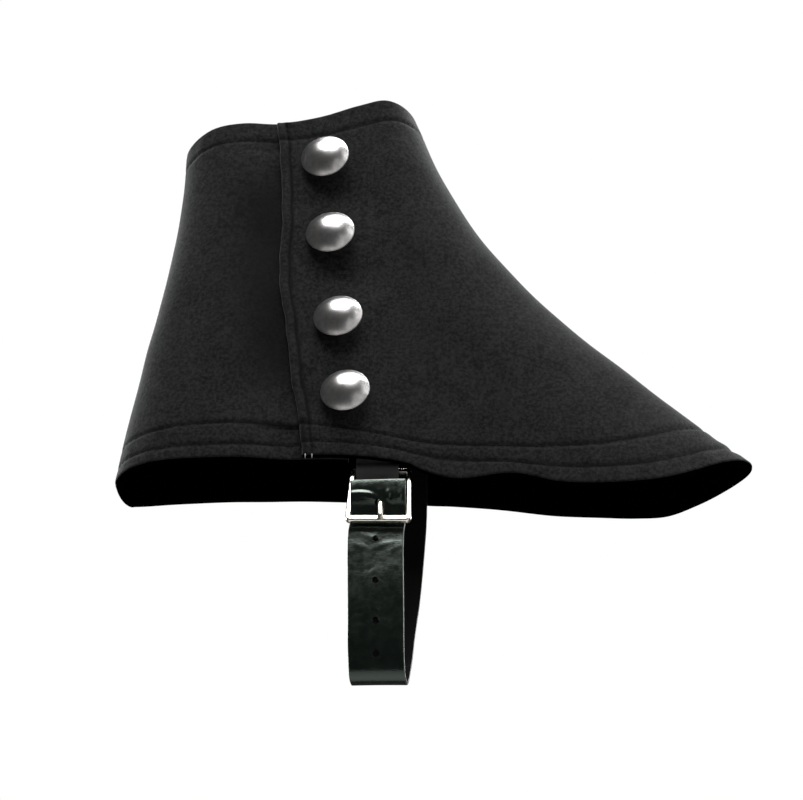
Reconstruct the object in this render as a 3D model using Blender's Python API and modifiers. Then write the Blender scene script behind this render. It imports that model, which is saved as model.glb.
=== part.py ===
# One spat: a felt cover for the ankle and instep of a boot, in its worn form and empty.
# +X points to the toe, -Y to the outer side with the buttons, +Z up.
# The origin is the middle of the top opening. Sizes in the tables are millimetres.

import math

import bmesh
import bpy
import numpy as np
from mathutils import Matrix, Vector

MM = 0.001

# Where the middle of the top opening lies, measured from the hem at the back seam
OPENING_X = 79.0
OPENING_Z = 180.0

SEAM_GAP = 0.3          # between two pieces that meet
WALL = 2.0              # felt
TURNED_HEM = 3.4        # felt folded back on itself
HEM_SHARE = 0.085       # height of the turned hems, as a share of the wall's height
HEM_STEP = 0.01         # height over which a turned hem thins to the wall
EDGE_NOSE = 0.3         # how far a rounded hem stands out, as a share of its thickness

# Level sections from the hem to the rim: where they meet the back and front seams, half their width at
# the heel and at the instep, and the length over which each end rounds in to its seam. The inner side
# rounds in to the back seam over a length of its own
SECTIONS = [
    {"up": 0.00, "back": 0.0, "front": 274.4, "heel": 20.4, "instep": 21.0,
     "back_round": 30, "inner_round": 9, "front_round": 60},
    {"up": 0.12, "back": 3.2, "front": 249.7, "heel": 20.6, "instep": 20.8,
     "back_round": 34, "inner_round": 19, "front_round": 57},
    {"up": 0.26, "back": 7.8, "front": 222.6, "heel": 21.0, "instep": 20.8,
     "back_round": 38, "inner_round": 31, "front_round": 51},
    {"up": 0.40, "back": 12.6, "front": 196.4, "heel": 21.5, "instep": 21.0,
     "back_round": 40, "inner_round": 39, "front_round": 45},
    {"up": 0.54, "back": 17.6, "front": 174.3, "heel": 21.5, "instep": 21.2,
     "back_round": 39, "inner_round": 39, "front_round": 38},
    {"up": 0.68, "back": 21.8, "front": 156.8, "heel": 21.5, "instep": 21.6,
     "back_round": 38, "inner_round": 38, "front_round": 31},
    {"up": 0.84, "back": 25.7, "front": 142.0, "heel": 21.2, "instep": 22.4,
     "back_round": 36, "inner_round": 36, "front_round": 24},
    {"up": 1.00, "back": 27.3, "front": 130.8, "heel": 21.0, "instep": 23.0,
     "back_round": 34, "inner_round": 34, "front_round": 18},
]

# Height of the hem above its level at the back seam, on the outer and on the inner side
HEM = [
    {"x": 0, "outer": 0.0, "inner": 0.0},
    {"x": 9, "outer": 0.3, "inner": 1.0},
    {"x": 21, "outer": 0.4, "inner": 2.3},
    {"x": 35, "outer": 0.7, "inner": 3.0},
    {"x": 63, "outer": 0.8, "inner": 3.2},
    {"x": 100, "outer": 0.7, "inner": 2.0},
    {"x": 107, "outer": 0.2, "inner": 1.5},
    {"x": 114, "outer": -0.6, "inner": 1.0},
    {"x": 121, "outer": -1.8, "inner": 0.4},
    {"x": 127, "outer": -3.4, "inner": -0.3},
    {"x": 134, "outer": -7.2, "inner": -1.8},
    {"x": 144, "outer": -10.4, "inner": -2.6},
    {"x": 173, "outer": -9.6, "inner": -5.4},
    {"x": 190, "outer": -14.6, "inner": -7.2},
    {"x": 207, "outer": -16.2, "inner": -8.2},
    {"x": 225, "outer": -15.4, "inner": -9.2},
    {"x": 238, "outer": -12.8, "inner": -9.0},
    {"x": 251, "outer": -7.6, "inner": -5.2},
    {"x": 262, "outer": -2.0, "inner": -1.2},
    {"x": 270, "outer": 1.6, "inner": 1.6},
    {"x": 274.4, "outer": 3.0, "inner": 3.0},
]

# Height of the top rim
RIM = [
    {"x": 27.3, "z": 173.5},
    {"x": 38, "z": 177.2},
    {"x": 52, "z": 177.8},
    {"x": 78, "z": 176.8},
    {"x": 90, "z": 179.2},
    {"x": 105, "z": 184.2},
    {"x": 118, "z": 187.6},
    {"x": 130.8, "z": 187.2},
]

# The shoe's waist draws the lower wall in
WAIST_X = 148.0
WAIST_SPREAD = 34.0
WAIST_DEPTH = 2.6

# Folded edge of the front panel, where it lies over the back panel
PLACKET = [
    {"up": 0.00, "x": 81.4},
    {"up": 0.11, "x": 79.7},
    {"up": 0.22, "x": 77.0},
    {"up": 0.37, "x": 73.8},
    {"up": 0.50, "x": 71.4},
    {"up": 0.85, "x": 71.2},
    {"up": 1.00, "x": 68.4},
]
# How far the back panel goes on under the front one. It is narrow at the hem, beside the strap
UNDERLAP = [
    {"up": 0.00, "wide": 20.0},
    {"up": 0.13, "wide": 22.0},
    {"up": 0.19, "wide": 27.0},
    {"up": 0.30, "wide": 36.0},
    {"up": 1.00, "wide": 36.0},
]
LAP_RAMP = 28.0         # length over which the back panel sinks under it
LAP_LEAD = 2.0          # it has sunk this far behind the folded edge

# Soft hollows in the outer side: place, spread and depth
HOLLOWS = [
    {"x": 96, "z": 134, "wide": 15, "high": 9, "deep": 1.6},
    {"x": 98, "z": 92, "wide": 15, "high": 10, "deep": 1.8},
    {"x": 58, "z": 118, "wide": 11, "high": 20, "deep": 1.4},
    {"x": 68, "z": 52, "wide": 8, "high": 18, "deep": 1.0},
]

# Rows of points from the hem to the rim, and points along each row
ROWS_IN_HEM = [0.0, 0.028, 0.058, HEM_SHARE]
ROWS_BETWEEN = 12
FRONT_COLUMNS = 34
BACK_COLUMNS = 22
INNER_COLUMNS = 42

BUTTON_RADIUS = 10.8
BUTTON_DOME = 4.6
BUTTON_EDGE = 1.3       # thickness of the rolled edge
BUTTON_FACE = 0.96      # share of the radius that the dome takes
SHANK_RADIUS = 3.0
SHANK_LENGTH = 2.4
BUTTON_SIDES = 24
DOME_STEPS = 6
BUTTONS = [
    {"z": 154.6, "from_edge": 20.2, "up_tilt": 2.0, "back_tilt": 7.0},
    {"z": 113.6, "from_edge": 22.6, "up_tilt": 3.0, "back_tilt": 7.0},
    {"z": 68.8, "from_edge": 23.8, "up_tilt": 4.0, "back_tilt": 8.0},
    {"z": 30.2, "from_edge": 22.3, "up_tilt": 4.0, "back_tilt": 8.0},
]

STRAP_WIDTH = 23.8
STRAP_THICK = 1.8
STRAP_ROWS = 72
STRAP_COLUMNS = 4
# Middle line of the strap, from its sewn end inside the inner hem to its cut tip in the buckle
STRAP_ROUTE = [
    {"x": 122.4, "y": 13.7, "z": 17.0},
    {"x": 122.4, "y": 13.8, "z": 4.0},
    {"x": 122.2, "y": 14.0, "z": -12.0},
    {"x": 121.0, "y": 14.2, "z": -32.0},
    {"x": 119.2, "y": 13.4, "z": -54.0},
    {"x": 117.2, "y": 11.6, "z": -72.0},
    {"x": 115.6, "y": 8.0, "z": -90.0},
    {"x": 114.2, "y": 2.6, "z": -100.8},
    {"x": 113.6, "y": -3.4, "z": -101.2},
    {"x": 113.2, "y": -8.6, "z": -92.8},
    {"x": 113.2, "y": -11.6, "z": -77.0},
    {"x": 113.1, "y": -12.6, "z": -60.0},
    {"x": 113.0, "y": -12.4, "z": -44.0},
    {"x": 113.3, "y": -12.0, "z": -34.0},
    {"x": 114.1, "y": -12.3, "z": -28.0},
    {"x": 114.2, "y": -14.4, "z": -22.8},
    {"x": 114.2, "y": -16.2, "z": -19.2},
    {"x": 114.2, "y": -16.9, "z": -16.0},
    {"x": 114.2, "y": -16.7, "z": -13.2},
    {"x": 114.2, "y": -15.9, "z": -11.6},
    {"x": 114.2, "y": -14.8, "z": -10.8},
]
HOLE_RADIUS = 1.75
HOLE_SIDES = 16
HOLE_CUT = 8.0          # length of the cutters
HOLE_REACH = 2.0        # distance each way over which the strap's direction is read
HOLE_HEIGHTS = [-38.5, -57.5, -76.5, -92.0]
PRONG_HOLE_HEIGHT = -20.8
PRONG_HOLE_LONG = 2.9   # half the length of the hole that the prong has stretched

FRAME_X = 114.2
FRAME_WIDE = 28.0
FRAME_HIGH = 29.2
FRAME_THICK = 2.6
FRAME_SIDE_BAR = 1.9
FRAME_UPPER_BAR = 2.2
FRAME_LOWER_BAR = 3.4
FRAME_CORNER = 2.4
FRAME_INNER_CORNER = 0.8
FRAME_EDGE = 0.35       # rounding of the bars
UPPER_BAR_Y = -11.7
UPPER_BAR_Z = -3.8
FRAME_TILT = 7.5        # degrees that the lower bar stands out

PRONG_RADIUS = 0.8
PRONG_RING = 2.5
PRONG_STEM = [
    {"y": -11.6, "z": -10.0},
    {"y": -12.0, "z": -14.5},
    {"y": -13.4, "z": -18.2},
    {"y": -15.4, "z": -21.2},
    {"y": -16.8, "z": -24.4},
    {"y": -17.4, "z": -28.0},
    {"y": -17.7, "z": -31.6},
]

CHAPE_WIDTH = 18.4
CHAPE_THICK = 1.3
CHAPE_SLOT = 5.0        # width of the slot that lets the prong through
CHAPE_RING = 2.4        # from the bar's middle to the leather's middle
CHAPE_SLOT_TOP = 0.4
# Its middle line on the wall's side, from the top down to the bar, and behind it, from the bar up
CHAPE_FRONT = [
    {"y": -14.2, "z": 28.0},
    {"y": -14.1, "z": 19.0},
    {"y": -11.6, "z": 12.0},
    {"y": -11.6, "z": 3.0},
    {"y": -11.7, "z": 1.0},
    {"y": -11.9, "z": 0.1},
    {"y": -13.2, "z": -1.8},
]
CHAPE_BACK = [
    {"y": -9.8, "z": 1.0},
    {"y": -9.8, "z": 12.0},
]
CHAPE_ROWS = 44

SHARP_ANGLE = 50        # degrees above which an edge of the cloth is shaded sharp
CURVE_SAMPLES = 900

FELT = {"color": (0.012, 0.012, 0.013), "roughness": 0.95, "metallic": 0.0}
LEATHER = {"color": (0.006, 0.008, 0.007), "roughness": 0.35, "metallic": 0.0}
SILVER = {"color": (0.62, 0.61, 0.58), "roughness": 0.32, "metallic": 1.0}
NICKEL = {"color": (0.74, 0.72, 0.66), "roughness": 0.25, "metallic": 1.0}


def clear_scene():
    for item in list(bpy.data.objects):
        bpy.data.objects.remove(item, do_unlink=True)


def new_collection(name):
    group = bpy.data.collections.new(name)
    bpy.context.scene.collection.children.link(group)
    return group


def new_material(name, finish):
    material = bpy.data.materials.new(name)
    material.use_nodes = True
    shader = material.node_tree.nodes["Principled BSDF"]
    shader.inputs["Base Color"].default_value = (*finish["color"], 1.0)
    shader.inputs["Roughness"].default_value = finish["roughness"]
    shader.inputs["Metallic"].default_value = finish["metallic"]
    return material


def placed(points):
    """Millimetres from the back seam's hem to metres from the top opening."""
    points = np.asarray(points, dtype=float)
    return (points - np.array([OPENING_X, 0.0, OPENING_Z])) * MM


def column(rows, name):
    return np.array([row[name] for row in rows], dtype=float)


def smooth(rows, key, name, where):
    """A smooth curve through one column of a table, read at the given places."""
    at = column(rows, key)
    values = column(rows, name)
    slopes = np.gradient(values, at)
    where = np.clip(np.asarray(where, dtype=float), at[0], at[-1])
    low = np.clip(np.searchsorted(at, where, side="right") - 1, 0, len(at) - 2)
    step = at[low + 1] - at[low]
    t = (where - at[low]) / step
    start = values[low] * (1 + 2 * t) * (1 - t) ** 2 + slopes[low] * step * t * (1 - t) ** 2
    end = values[low + 1] * t ** 2 * (3 - 2 * t) + slopes[low + 1] * step * t ** 2 * (t - 1)
    return start + end


def smoothstep(t):
    t = np.clip(t, 0.0, 1.0)
    return t * t * (3 - 2 * t)


def round_end(distance, length):
    """Share of the full width at a distance from a seam, as a quarter ellipse."""
    return np.sqrt(np.maximum(1 - (1 - np.clip(distance / length, 0, 1)) ** 2, 0))


def cloth(up, along, side):
    """Outer face of the cloth. up runs from hem to rim, along from back to front seam."""
    up = np.asarray(up, dtype=float)
    back = smooth(SECTIONS, "up", "back", up)
    front = smooth(SECTIONS, "up", "front", up)
    x = back + (front - back) * along
    heel = smooth(SECTIONS, "up", "heel", up)
    instep = smooth(SECTIONS, "up", "instep", up)
    half = heel + (instep - heel) * smoothstep(along)
    half = half - WAIST_DEPTH * np.exp(-((x - WAIST_X) / WAIST_SPREAD) ** 2) * (1 - up) ** 2
    half = half * round_end(x - back, smooth(SECTIONS, "up", "back_round" if side < 0 else "inner_round", up))
    half = half * round_end(front - x, smooth(SECTIONS, "up", "front_round", up))
    hem_x = SECTIONS[0]["front"] * along
    rim_x = SECTIONS[-1]["back"] + (SECTIONS[-1]["front"] - SECTIONS[-1]["back"]) * along
    hem_z = smooth(HEM, "x", "outer" if side < 0 else "inner", hem_x)
    z = hem_z * (1 - up) + smooth(RIM, "x", "z", rim_x) * up
    if side < 0:
        for hollow in HOLLOWS:
            reach = ((x - hollow["x"]) / hollow["wide"]) ** 2 + ((z - hollow["z"]) / hollow["high"]) ** 2
            half = half - hollow["deep"] * np.exp(-reach)
    return np.stack([x, side * (half + SEAM_GAP / 2), z], axis=-1)


def share_at(up, x):
    back = smooth(SECTIONS, "up", "back", up)
    front = smooth(SECTIONS, "up", "front", up)
    return (x - back) / (front - back)


def even_shares(up, side, start, end, count):
    """Shares along one row that lie evenly along the cloth between two of them."""
    turn = np.linspace(0, math.pi, CURVE_SAMPLES)
    dense = (1 - np.cos(turn)) / 2
    points = cloth(np.full(dense.shape, up), dense, side)
    steps = np.linalg.norm(np.diff(points[:, :2], axis=0), axis=1)
    length = np.concatenate([[0], np.cumsum(steps)])
    first, last = np.interp([start, end], dense, length)
    return np.interp(np.linspace(first, last, count), length, dense)


def rows_up():
    middle = np.linspace(HEM_SHARE + HEM_STEP, 1 - HEM_SHARE - HEM_STEP, ROWS_BETWEEN)
    low = np.array(ROWS_IN_HEM)
    return np.concatenate([low, middle, 1 - low[::-1]])


def thickness(up):
    inside = np.minimum(up, 1 - up)
    thin = smoothstep((inside - HEM_SHARE) / HEM_STEP)
    return TURNED_HEM + (WALL - TURNED_HEM) * thin


def outward(points, side, seams):
    """Unit normals of a grid of points. At a seam they stay in the garment's middle plane."""
    across = np.gradient(points, axis=1)
    upward = np.gradient(points, axis=0)
    normal = np.cross(across, upward) * (-side)
    for index in seams:
        normal[:, index, 1] = 0.0
    return normal / np.linalg.norm(normal, axis=2, keepdims=True)


def panel_points(side, starts, ends, count, sink=None, seams=()):
    """Outer and inner grids of a panel. sink tells how far each point lies under the cloth's face."""
    ups = rows_up()
    shares = np.array([even_shares(up, side, a, b, count) for up, a, b in zip(ups, starts, ends)])
    face = np.array([cloth(np.full(count, up), row, side) for up, row in zip(ups, shares)])
    normal = outward(face, side, seams)
    depth = np.zeros(shares.shape) if sink is None else sink(ups, face)
    outer = face - normal * depth[..., None]
    inner = outer - normal * thickness(ups)[:, None, None]
    return outer, inner


def close_sheet(name, outer, inner, material, group):
    """A closed wall between two grids, with rounded edges along the hem and the rim."""
    rows, columns = outer.shape[:2]
    nose = []
    for edge, beside in ((0, 1), (rows - 1, rows - 2)):
        middle = (outer[edge] + inner[edge]) / 2
        away = outer[edge] - outer[beside]
        away = away / np.linalg.norm(away, axis=1, keepdims=True)
        thick = np.linalg.norm(outer[edge] - inner[edge], axis=1, keepdims=True)
        nose.append(middle + away * thick * EDGE_NOSE)
    mesh = bpy.data.meshes.new(name)
    shape = bmesh.new()
    make = shape.verts.new
    loops = [outer[index] for index in range(rows)]
    loops.append(nose[1])
    loops.extend(inner[index] for index in range(rows - 1, -1, -1))
    loops.append(nose[0])
    verts = [[make(point) for point in placed(loop)] for loop in loops]
    count = len(verts)
    for i in range(count):
        here, there = verts[i], verts[(i + 1) % count]
        for j in range(columns - 1):
            shape.faces.new((here[j], here[j + 1], there[j + 1], there[j]))
    for j in (0, columns - 1):
        ring = [loop[j] for loop in verts]
        for i in range(rows - 1):
            shape.faces.new((ring[i], ring[i + 1], ring[2 * rows - 1 - i], ring[2 * rows - i]))
        shape.faces.new((ring[rows - 1], ring[rows], ring[rows + 1]))
        shape.faces.new((ring[0], ring[2 * rows], ring[2 * rows + 1]))
    bmesh.ops.recalc_face_normals(shape, faces=shape.faces)
    shape.to_mesh(mesh)
    shape.free()
    mesh.shade_smooth()
    mesh.set_sharp_from_angle(angle=math.radians(SHARP_ANGLE))
    mesh.materials.append(material)
    piece = bpy.data.objects.new(name, mesh)
    group.objects.link(piece)
    return piece


def make_panels(felt, group):
    ups = rows_up()
    edge_x = smooth(PLACKET, "up", "x", ups)
    edge = share_at(ups, edge_x)
    underlap = share_at(ups, edge_x + smooth(UNDERLAP, "up", "wide", ups))
    zero = np.zeros(len(ups))
    one = np.ones(len(ups))

    def under_front(levels, face):
        lead = face[..., 0] - (edge_x[:, None] - LAP_LEAD - LAP_RAMP)
        full = thickness(levels)[:, None] + SEAM_GAP
        return full * smoothstep(lead / LAP_RAMP)

    front = panel_points(-1, edge, one, FRONT_COLUMNS, seams=(-1,))
    back = panel_points(-1, zero, underlap, BACK_COLUMNS, sink=under_front, seams=(0,))
    inner = panel_points(1, zero, one, INNER_COLUMNS, seams=(0, -1))
    close_sheet("front_outer", *front, felt, group)
    close_sheet("back_outer", *back, felt, group)
    close_sheet("inner_side", *inner, felt, group)


def spot_on_outer(x, z):
    """Point and outward normal of the outer side at a place given by x and height."""
    up = z / OPENING_Z
    for _ in range(8):
        here = cloth(up, share_at(up, x), -1)
        up = up + (z - here[2]) / OPENING_Z
    nudge = 0.01
    point = cloth(up, share_at(up, x), -1)
    toward_toe = cloth(up, share_at(up, x) + nudge, -1) - cloth(up, share_at(up, x) - nudge, -1)
    toward_rim = cloth(up + nudge, share_at(up, x), -1) - cloth(up - nudge, share_at(up, x), -1)
    normal = np.cross(toward_toe, toward_rim)
    return point, normal / np.linalg.norm(normal)


def button_profile():
    """Half outline of a button, from the top of its dome down to the end of its shank."""
    face = BUTTON_RADIUS * BUTTON_FACE
    sphere = (face ** 2 + BUTTON_DOME ** 2) / (2 * BUTTON_DOME)
    spread = math.asin(face / sphere)
    points = []
    for step in range(DOME_STEPS + 1):
        angle = spread * step / DOME_STEPS
        height = sphere * math.cos(angle) - sphere + BUTTON_DOME
        points.append((sphere * math.sin(angle), height))
    points.append((BUTTON_RADIUS, -0.25 * BUTTON_EDGE))
    points.append((BUTTON_RADIUS, -0.75 * BUTTON_EDGE))
    points.append((face, -BUTTON_EDGE))
    points.append((SHANK_RADIUS, -BUTTON_EDGE))
    points.append((SHANK_RADIUS, -BUTTON_EDGE - SHANK_LENGTH))
    points.append((0.0, -BUTTON_EDGE - SHANK_LENGTH))
    return points


def make_buttons(silver, group):
    profile = button_profile()
    for number, row in enumerate(BUTTONS, start=1):
        up_guess = row["z"] / OPENING_Z
        x = float(smooth(PLACKET, "up", "x", up_guess)) + row["from_edge"]
        point, normal = spot_on_outer(x, row["z"])
        mesh = bpy.data.meshes.new(f"button_{number}")
        verts = [(across * MM, 0.0, height * MM) for across, height in profile]
        mesh.from_pydata(verts, [(i, i + 1) for i in range(len(verts) - 1)], [])
        mesh.materials.append(silver)
        button = bpy.data.objects.new(f"button_{number}", mesh)
        group.objects.link(button)
        screw = button.modifiers.new("Turned", "SCREW")
        screw.steps = BUTTON_SIDES
        screw.render_steps = BUTTON_SIDES
        screw.use_merge_vertices = True
        screw.merge_threshold = 0.00001
        screw.use_smooth_shade = True
        axis = Vector(normal)
        axis.rotate(Matrix.Rotation(math.radians(row["up_tilt"]), 3, "X").inverted())
        axis.rotate(Matrix.Rotation(math.radians(row["back_tilt"]), 3, "Z").inverted())
        lean = axis.angle(Vector(normal))
        stand = SEAM_GAP + SHANK_RADIUS * math.sin(lean) + SHANK_LENGTH + BUTTON_EDGE
        button.location = Vector(placed(point)) + axis * stand * MM
        button.rotation_mode = "QUATERNION"
        button.rotation_quaternion = axis.to_track_quat("Z", "Y")


def route_points(rows, count, names=("x", "y", "z")):
    """Evenly spaced points on a smooth curve through a route's own points."""
    points = np.array([[row[name] for name in names] for row in rows], dtype=float)
    chord = np.concatenate([[0], np.cumsum(np.linalg.norm(np.diff(points, axis=0), axis=1))])
    keyed = [dict({"at": at}, **{name: value for name, value in zip(names, point)})
             for at, point in zip(chord, points)]
    dense = np.linspace(0, chord[-1], CURVE_SAMPLES)
    curve = np.stack([smooth(keyed, "at", name, dense) for name in names], axis=-1)
    length = np.concatenate([[0], np.cumsum(np.linalg.norm(np.diff(curve, axis=0), axis=1))])
    even = np.linspace(0, length[-1], count)
    return np.stack([np.interp(even, length, curve[:, k]) for k in range(len(names))], axis=-1)


def add_strip(name, middle, width, thick, columns, material, group, gap=None):
    """A leather strip across X along a middle line. gap(i) tells where its middle column is left out."""
    mesh = bpy.data.meshes.new(name)
    shape = bmesh.new()
    offsets = columns(width)
    verts = [[shape.verts.new(placed(point + np.array([offset, 0, 0]))) for offset in offsets]
             for point in middle]
    for i in range(len(verts) - 1):
        for j in range(len(offsets) - 1):
            if gap is not None and gap(i, j):
                continue
            shape.faces.new((verts[i][j], verts[i][j + 1], verts[i + 1][j + 1], verts[i + 1][j]))
    loose = [vert for vert in shape.verts if not vert.link_faces]
    bmesh.ops.delete(shape, geom=loose, context="VERTS")
    shape.to_mesh(mesh)
    shape.free()
    mesh.shade_smooth()
    mesh.materials.append(material)
    strip = bpy.data.objects.new(name, mesh)
    group.objects.link(strip)
    wall = strip.modifiers.new("Leather", "SOLIDIFY")
    wall.thickness = thick * MM
    wall.offset = 0.0
    wall.use_even_offset = True
    wall.use_quality_normals = True
    return strip


def strap_near_run(line):
    """The part of the strap's middle line that hangs on the outer side, ordered from the bottom up."""
    lowest = int(np.argmin(line[:, 2]))
    return line[lowest:]


def make_strap(leather, group, cutters):
    line = route_points(STRAP_ROUTE, STRAP_ROWS)

    def columns(width):
        return np.linspace(-width / 2, width / 2, STRAP_COLUMNS + 1)

    strap = add_strip("strap", line, STRAP_WIDTH, STRAP_THICK, columns, leather, group)
    run = strap_near_run(line)
    holes = [(height, HOLE_RADIUS) for height in HOLE_HEIGHTS]
    holes.append((PRONG_HOLE_HEIGHT, PRONG_HOLE_LONG))
    for number, (height, half_long) in enumerate(holes, start=1):
        here, below, above = (np.array([np.interp(z, run[:, 2], run[:, k]) for k in range(3)])
                              for z in (height, height - HOLE_REACH, height + HOLE_REACH))
        along = Vector(above - below).normalized()
        across = Vector((1, 0, 0))
        through = across.cross(along).normalized()
        bpy.ops.mesh.primitive_cylinder_add(vertices=HOLE_SIDES, radius=HOLE_RADIUS * MM, depth=HOLE_CUT * MM)
        cutter = bpy.context.object
        cutter.name = f"hole_cutter_{number}"
        across = along.cross(through).normalized()
        turn = Matrix((across, along, through)).transposed()
        cutter.rotation_mode = "QUATERNION"
        cutter.rotation_quaternion = turn.to_quaternion()
        cutter.location = Vector(placed(here))
        cutter.scale = (1.0, half_long / HOLE_RADIUS, 1.0)
        cutter.hide_render = True
        cutter.display_type = "WIRE"
        for owner in list(cutter.users_collection):
            owner.objects.unlink(cutter)
        cutters.objects.link(cutter)
        punch = strap.modifiers.new(f"Hole {number}", "BOOLEAN")
        punch.operation = "DIFFERENCE"
        punch.object = cutter


def make_chape(leather, group):
    ring = []
    for degrees in range(180, 381, 20):
        angle = math.radians(degrees)
        ring.append({"y": UPPER_BAR_Y + CHAPE_RING * math.cos(angle),
                     "z": UPPER_BAR_Z + CHAPE_RING * math.sin(angle)})
    line = route_points(CHAPE_FRONT + ring + CHAPE_BACK, CHAPE_ROWS, names=("y", "z"))
    line = np.column_stack([np.full(len(line), FRAME_X), line])

    def columns(width):
        return [-width / 2, -CHAPE_SLOT / 2, CHAPE_SLOT / 2, width / 2]

    def gap(i, j):
        middle = (line[i] + line[i + 1]) / 2
        return j == 1 and middle[2] < CHAPE_SLOT_TOP

    add_strip("chape", line, CHAPE_WIDTH, CHAPE_THICK, columns, leather, group, gap=gap)


def rounded_outline(curve, left, right, low, high, radius):
    """A closed outline with round corners, as a poly spline."""
    corners = [(right - radius, high - radius, 0), (left + radius, high - radius, 90),
               (left + radius, low + radius, 180), (right - radius, low + radius, 270)]
    points = []
    for x, y, start in corners:
        for step in range(4):
            angle = math.radians(start + 30 * step)
            points.append((x + radius * math.cos(angle), y + radius * math.sin(angle)))
    spline = curve.splines.new("POLY")
    spline.points.add(len(points) - 1)
    for spot, (x, y) in zip(spline.points, points):
        spot.co = (x * MM, y * MM, 0.0, 1.0)
    spline.use_cyclic_u = True


def make_buckle(nickel, group):
    curve = bpy.data.curves.new("frame_outline", "CURVE")
    curve.dimensions = "2D"
    curve.fill_mode = "BOTH"
    curve.extrude = (FRAME_THICK / 2 - FRAME_EDGE) * MM
    curve.bevel_depth = FRAME_EDGE * MM
    curve.bevel_resolution = 1
    curve.offset = -FRAME_EDGE * MM
    half = FRAME_WIDE / 2
    top = FRAME_UPPER_BAR / 2
    bottom = top - FRAME_HIGH
    rounded_outline(curve, -half, half, bottom, top, FRAME_CORNER)
    rounded_outline(curve, -half + FRAME_SIDE_BAR, half - FRAME_SIDE_BAR, bottom + FRAME_LOWER_BAR,
                    top - FRAME_UPPER_BAR, FRAME_INNER_CORNER)
    flat = bpy.data.objects.new("frame_outline", curve)
    group.objects.link(flat)
    bpy.context.view_layer.update()
    mesh = bpy.data.meshes.new_from_object(flat.evaluated_get(bpy.context.evaluated_depsgraph_get()))
    shape = bmesh.new()
    shape.from_mesh(mesh)
    bmesh.ops.remove_doubles(shape, verts=shape.verts, dist=0.00002)
    bmesh.ops.recalc_face_normals(shape, faces=shape.faces)
    shape.to_mesh(mesh)
    shape.free()
    bpy.data.objects.remove(flat, do_unlink=True)
    mesh.name = "buckle_frame"
    mesh.materials.clear()
    mesh.materials.append(nickel)
    frame = bpy.data.objects.new("buckle_frame", mesh)
    group.objects.link(frame)
    frame.location = Vector(placed([FRAME_X, UPPER_BAR_Y, UPPER_BAR_Z]))
    frame.rotation_euler = (math.radians(90 - FRAME_TILT), 0.0, 0.0)

    ring = []
    for degrees in range(70, 271, 25):
        angle = math.radians(degrees)
        ring.append({"y": UPPER_BAR_Y - PRONG_RING * math.cos(angle),
                     "z": UPPER_BAR_Z + PRONG_RING * math.sin(angle)})
    line = route_points(ring + PRONG_STEM, 34, names=("y", "z"))
    wire = bpy.data.curves.new("buckle_prong", "CURVE")
    wire.dimensions = "3D"
    wire.bevel_depth = PRONG_RADIUS * MM
    wire.bevel_resolution = 2
    wire.use_fill_caps = True
    spline = wire.splines.new("POLY")
    spline.points.add(len(line) - 1)
    for spot, (y, z) in zip(spline.points, line):
        spot.co = (*placed([FRAME_X, y, z]), 1.0)
    wire.materials.append(nickel)
    prong = bpy.data.objects.new("buckle_prong", wire)
    group.objects.link(prong)


def main():
    clear_scene()
    spat = new_collection("spat")
    cutters = new_collection("cutters")
    felt = new_material("black_felt", FELT)
    leather = new_material("black_leather", LEATHER)
    silver = new_material("silver", SILVER)
    nickel = new_material("nickel", NICKEL)
    make_panels(felt, spat)
    make_buttons(silver, spat)
    make_strap(leather, spat, cutters)
    make_chape(leather, spat)
    make_buckle(nickel, spat)


main()
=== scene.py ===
import math

import bpy
import numpy as np
from mathutils import Matrix, Vector


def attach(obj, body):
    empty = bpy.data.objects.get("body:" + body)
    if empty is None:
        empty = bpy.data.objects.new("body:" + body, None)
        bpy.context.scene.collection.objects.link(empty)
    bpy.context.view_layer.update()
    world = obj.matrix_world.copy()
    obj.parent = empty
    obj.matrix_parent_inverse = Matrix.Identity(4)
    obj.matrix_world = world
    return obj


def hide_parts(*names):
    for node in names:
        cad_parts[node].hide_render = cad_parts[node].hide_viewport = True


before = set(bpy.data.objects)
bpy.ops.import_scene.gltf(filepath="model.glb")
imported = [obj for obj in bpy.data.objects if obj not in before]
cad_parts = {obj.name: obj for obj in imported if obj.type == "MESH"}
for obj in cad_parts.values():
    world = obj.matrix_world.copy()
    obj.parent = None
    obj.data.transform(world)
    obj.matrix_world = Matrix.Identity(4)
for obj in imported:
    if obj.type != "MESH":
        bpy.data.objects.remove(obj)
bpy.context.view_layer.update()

mm = 0.001
nearly = 0.01 * mm                   # two lengths that differ by less are the same
sharpAngle = math.radians(50)        # bevels round only the edges that are sharper
dice = np.random.default_rng(7)      # every random draw comes from here

# The spat's form, in millimetres from the hem at the back seam. up runs from the hem to the rim
spat = {
    "openingX": 79.0, "openingZ": 180.0,
    "wall": 2.0, "turned": 3.4, "turnedShare": 0.085, "turnedStep": 0.006, "edgeNose": 0.32,
    "softHem": 0.045, "calmRow": 0.012, "calmEnd": 4.0, "lump": 0.11, "lumpFace": 0.8, "lumpInside": 0.35,
    "seamGap": -0.12, "seamRound": 0.9, "foldRound": 1.2,
    "lapRamp": 28.0, "lapLead": 2.0, "lapGap": 0.3, "lapLift": 0.5, "liftFrom": 0.86, "liftFade": 6.0,
    "cornerShare": 0.8, "foldWander": 0.3,
    "waistX": 148.0, "waistSpread": 34.0, "waistDeep": 2.6,
    "columnStep": 0.85, "samples": 900,
}
rowBands = {"from": [0, 0.115, 0.92], "to": [0.115, 0.92, 1], "rows": [24, 52, 17]}
edgeColumns = [0, 0.06, 0.22, 0.46, 0.78, 1.2]      # millimetres in from a folded or sewn edge
noseTurns = np.radians([18, 42, 66, 90, 114, 138, 162])
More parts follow.
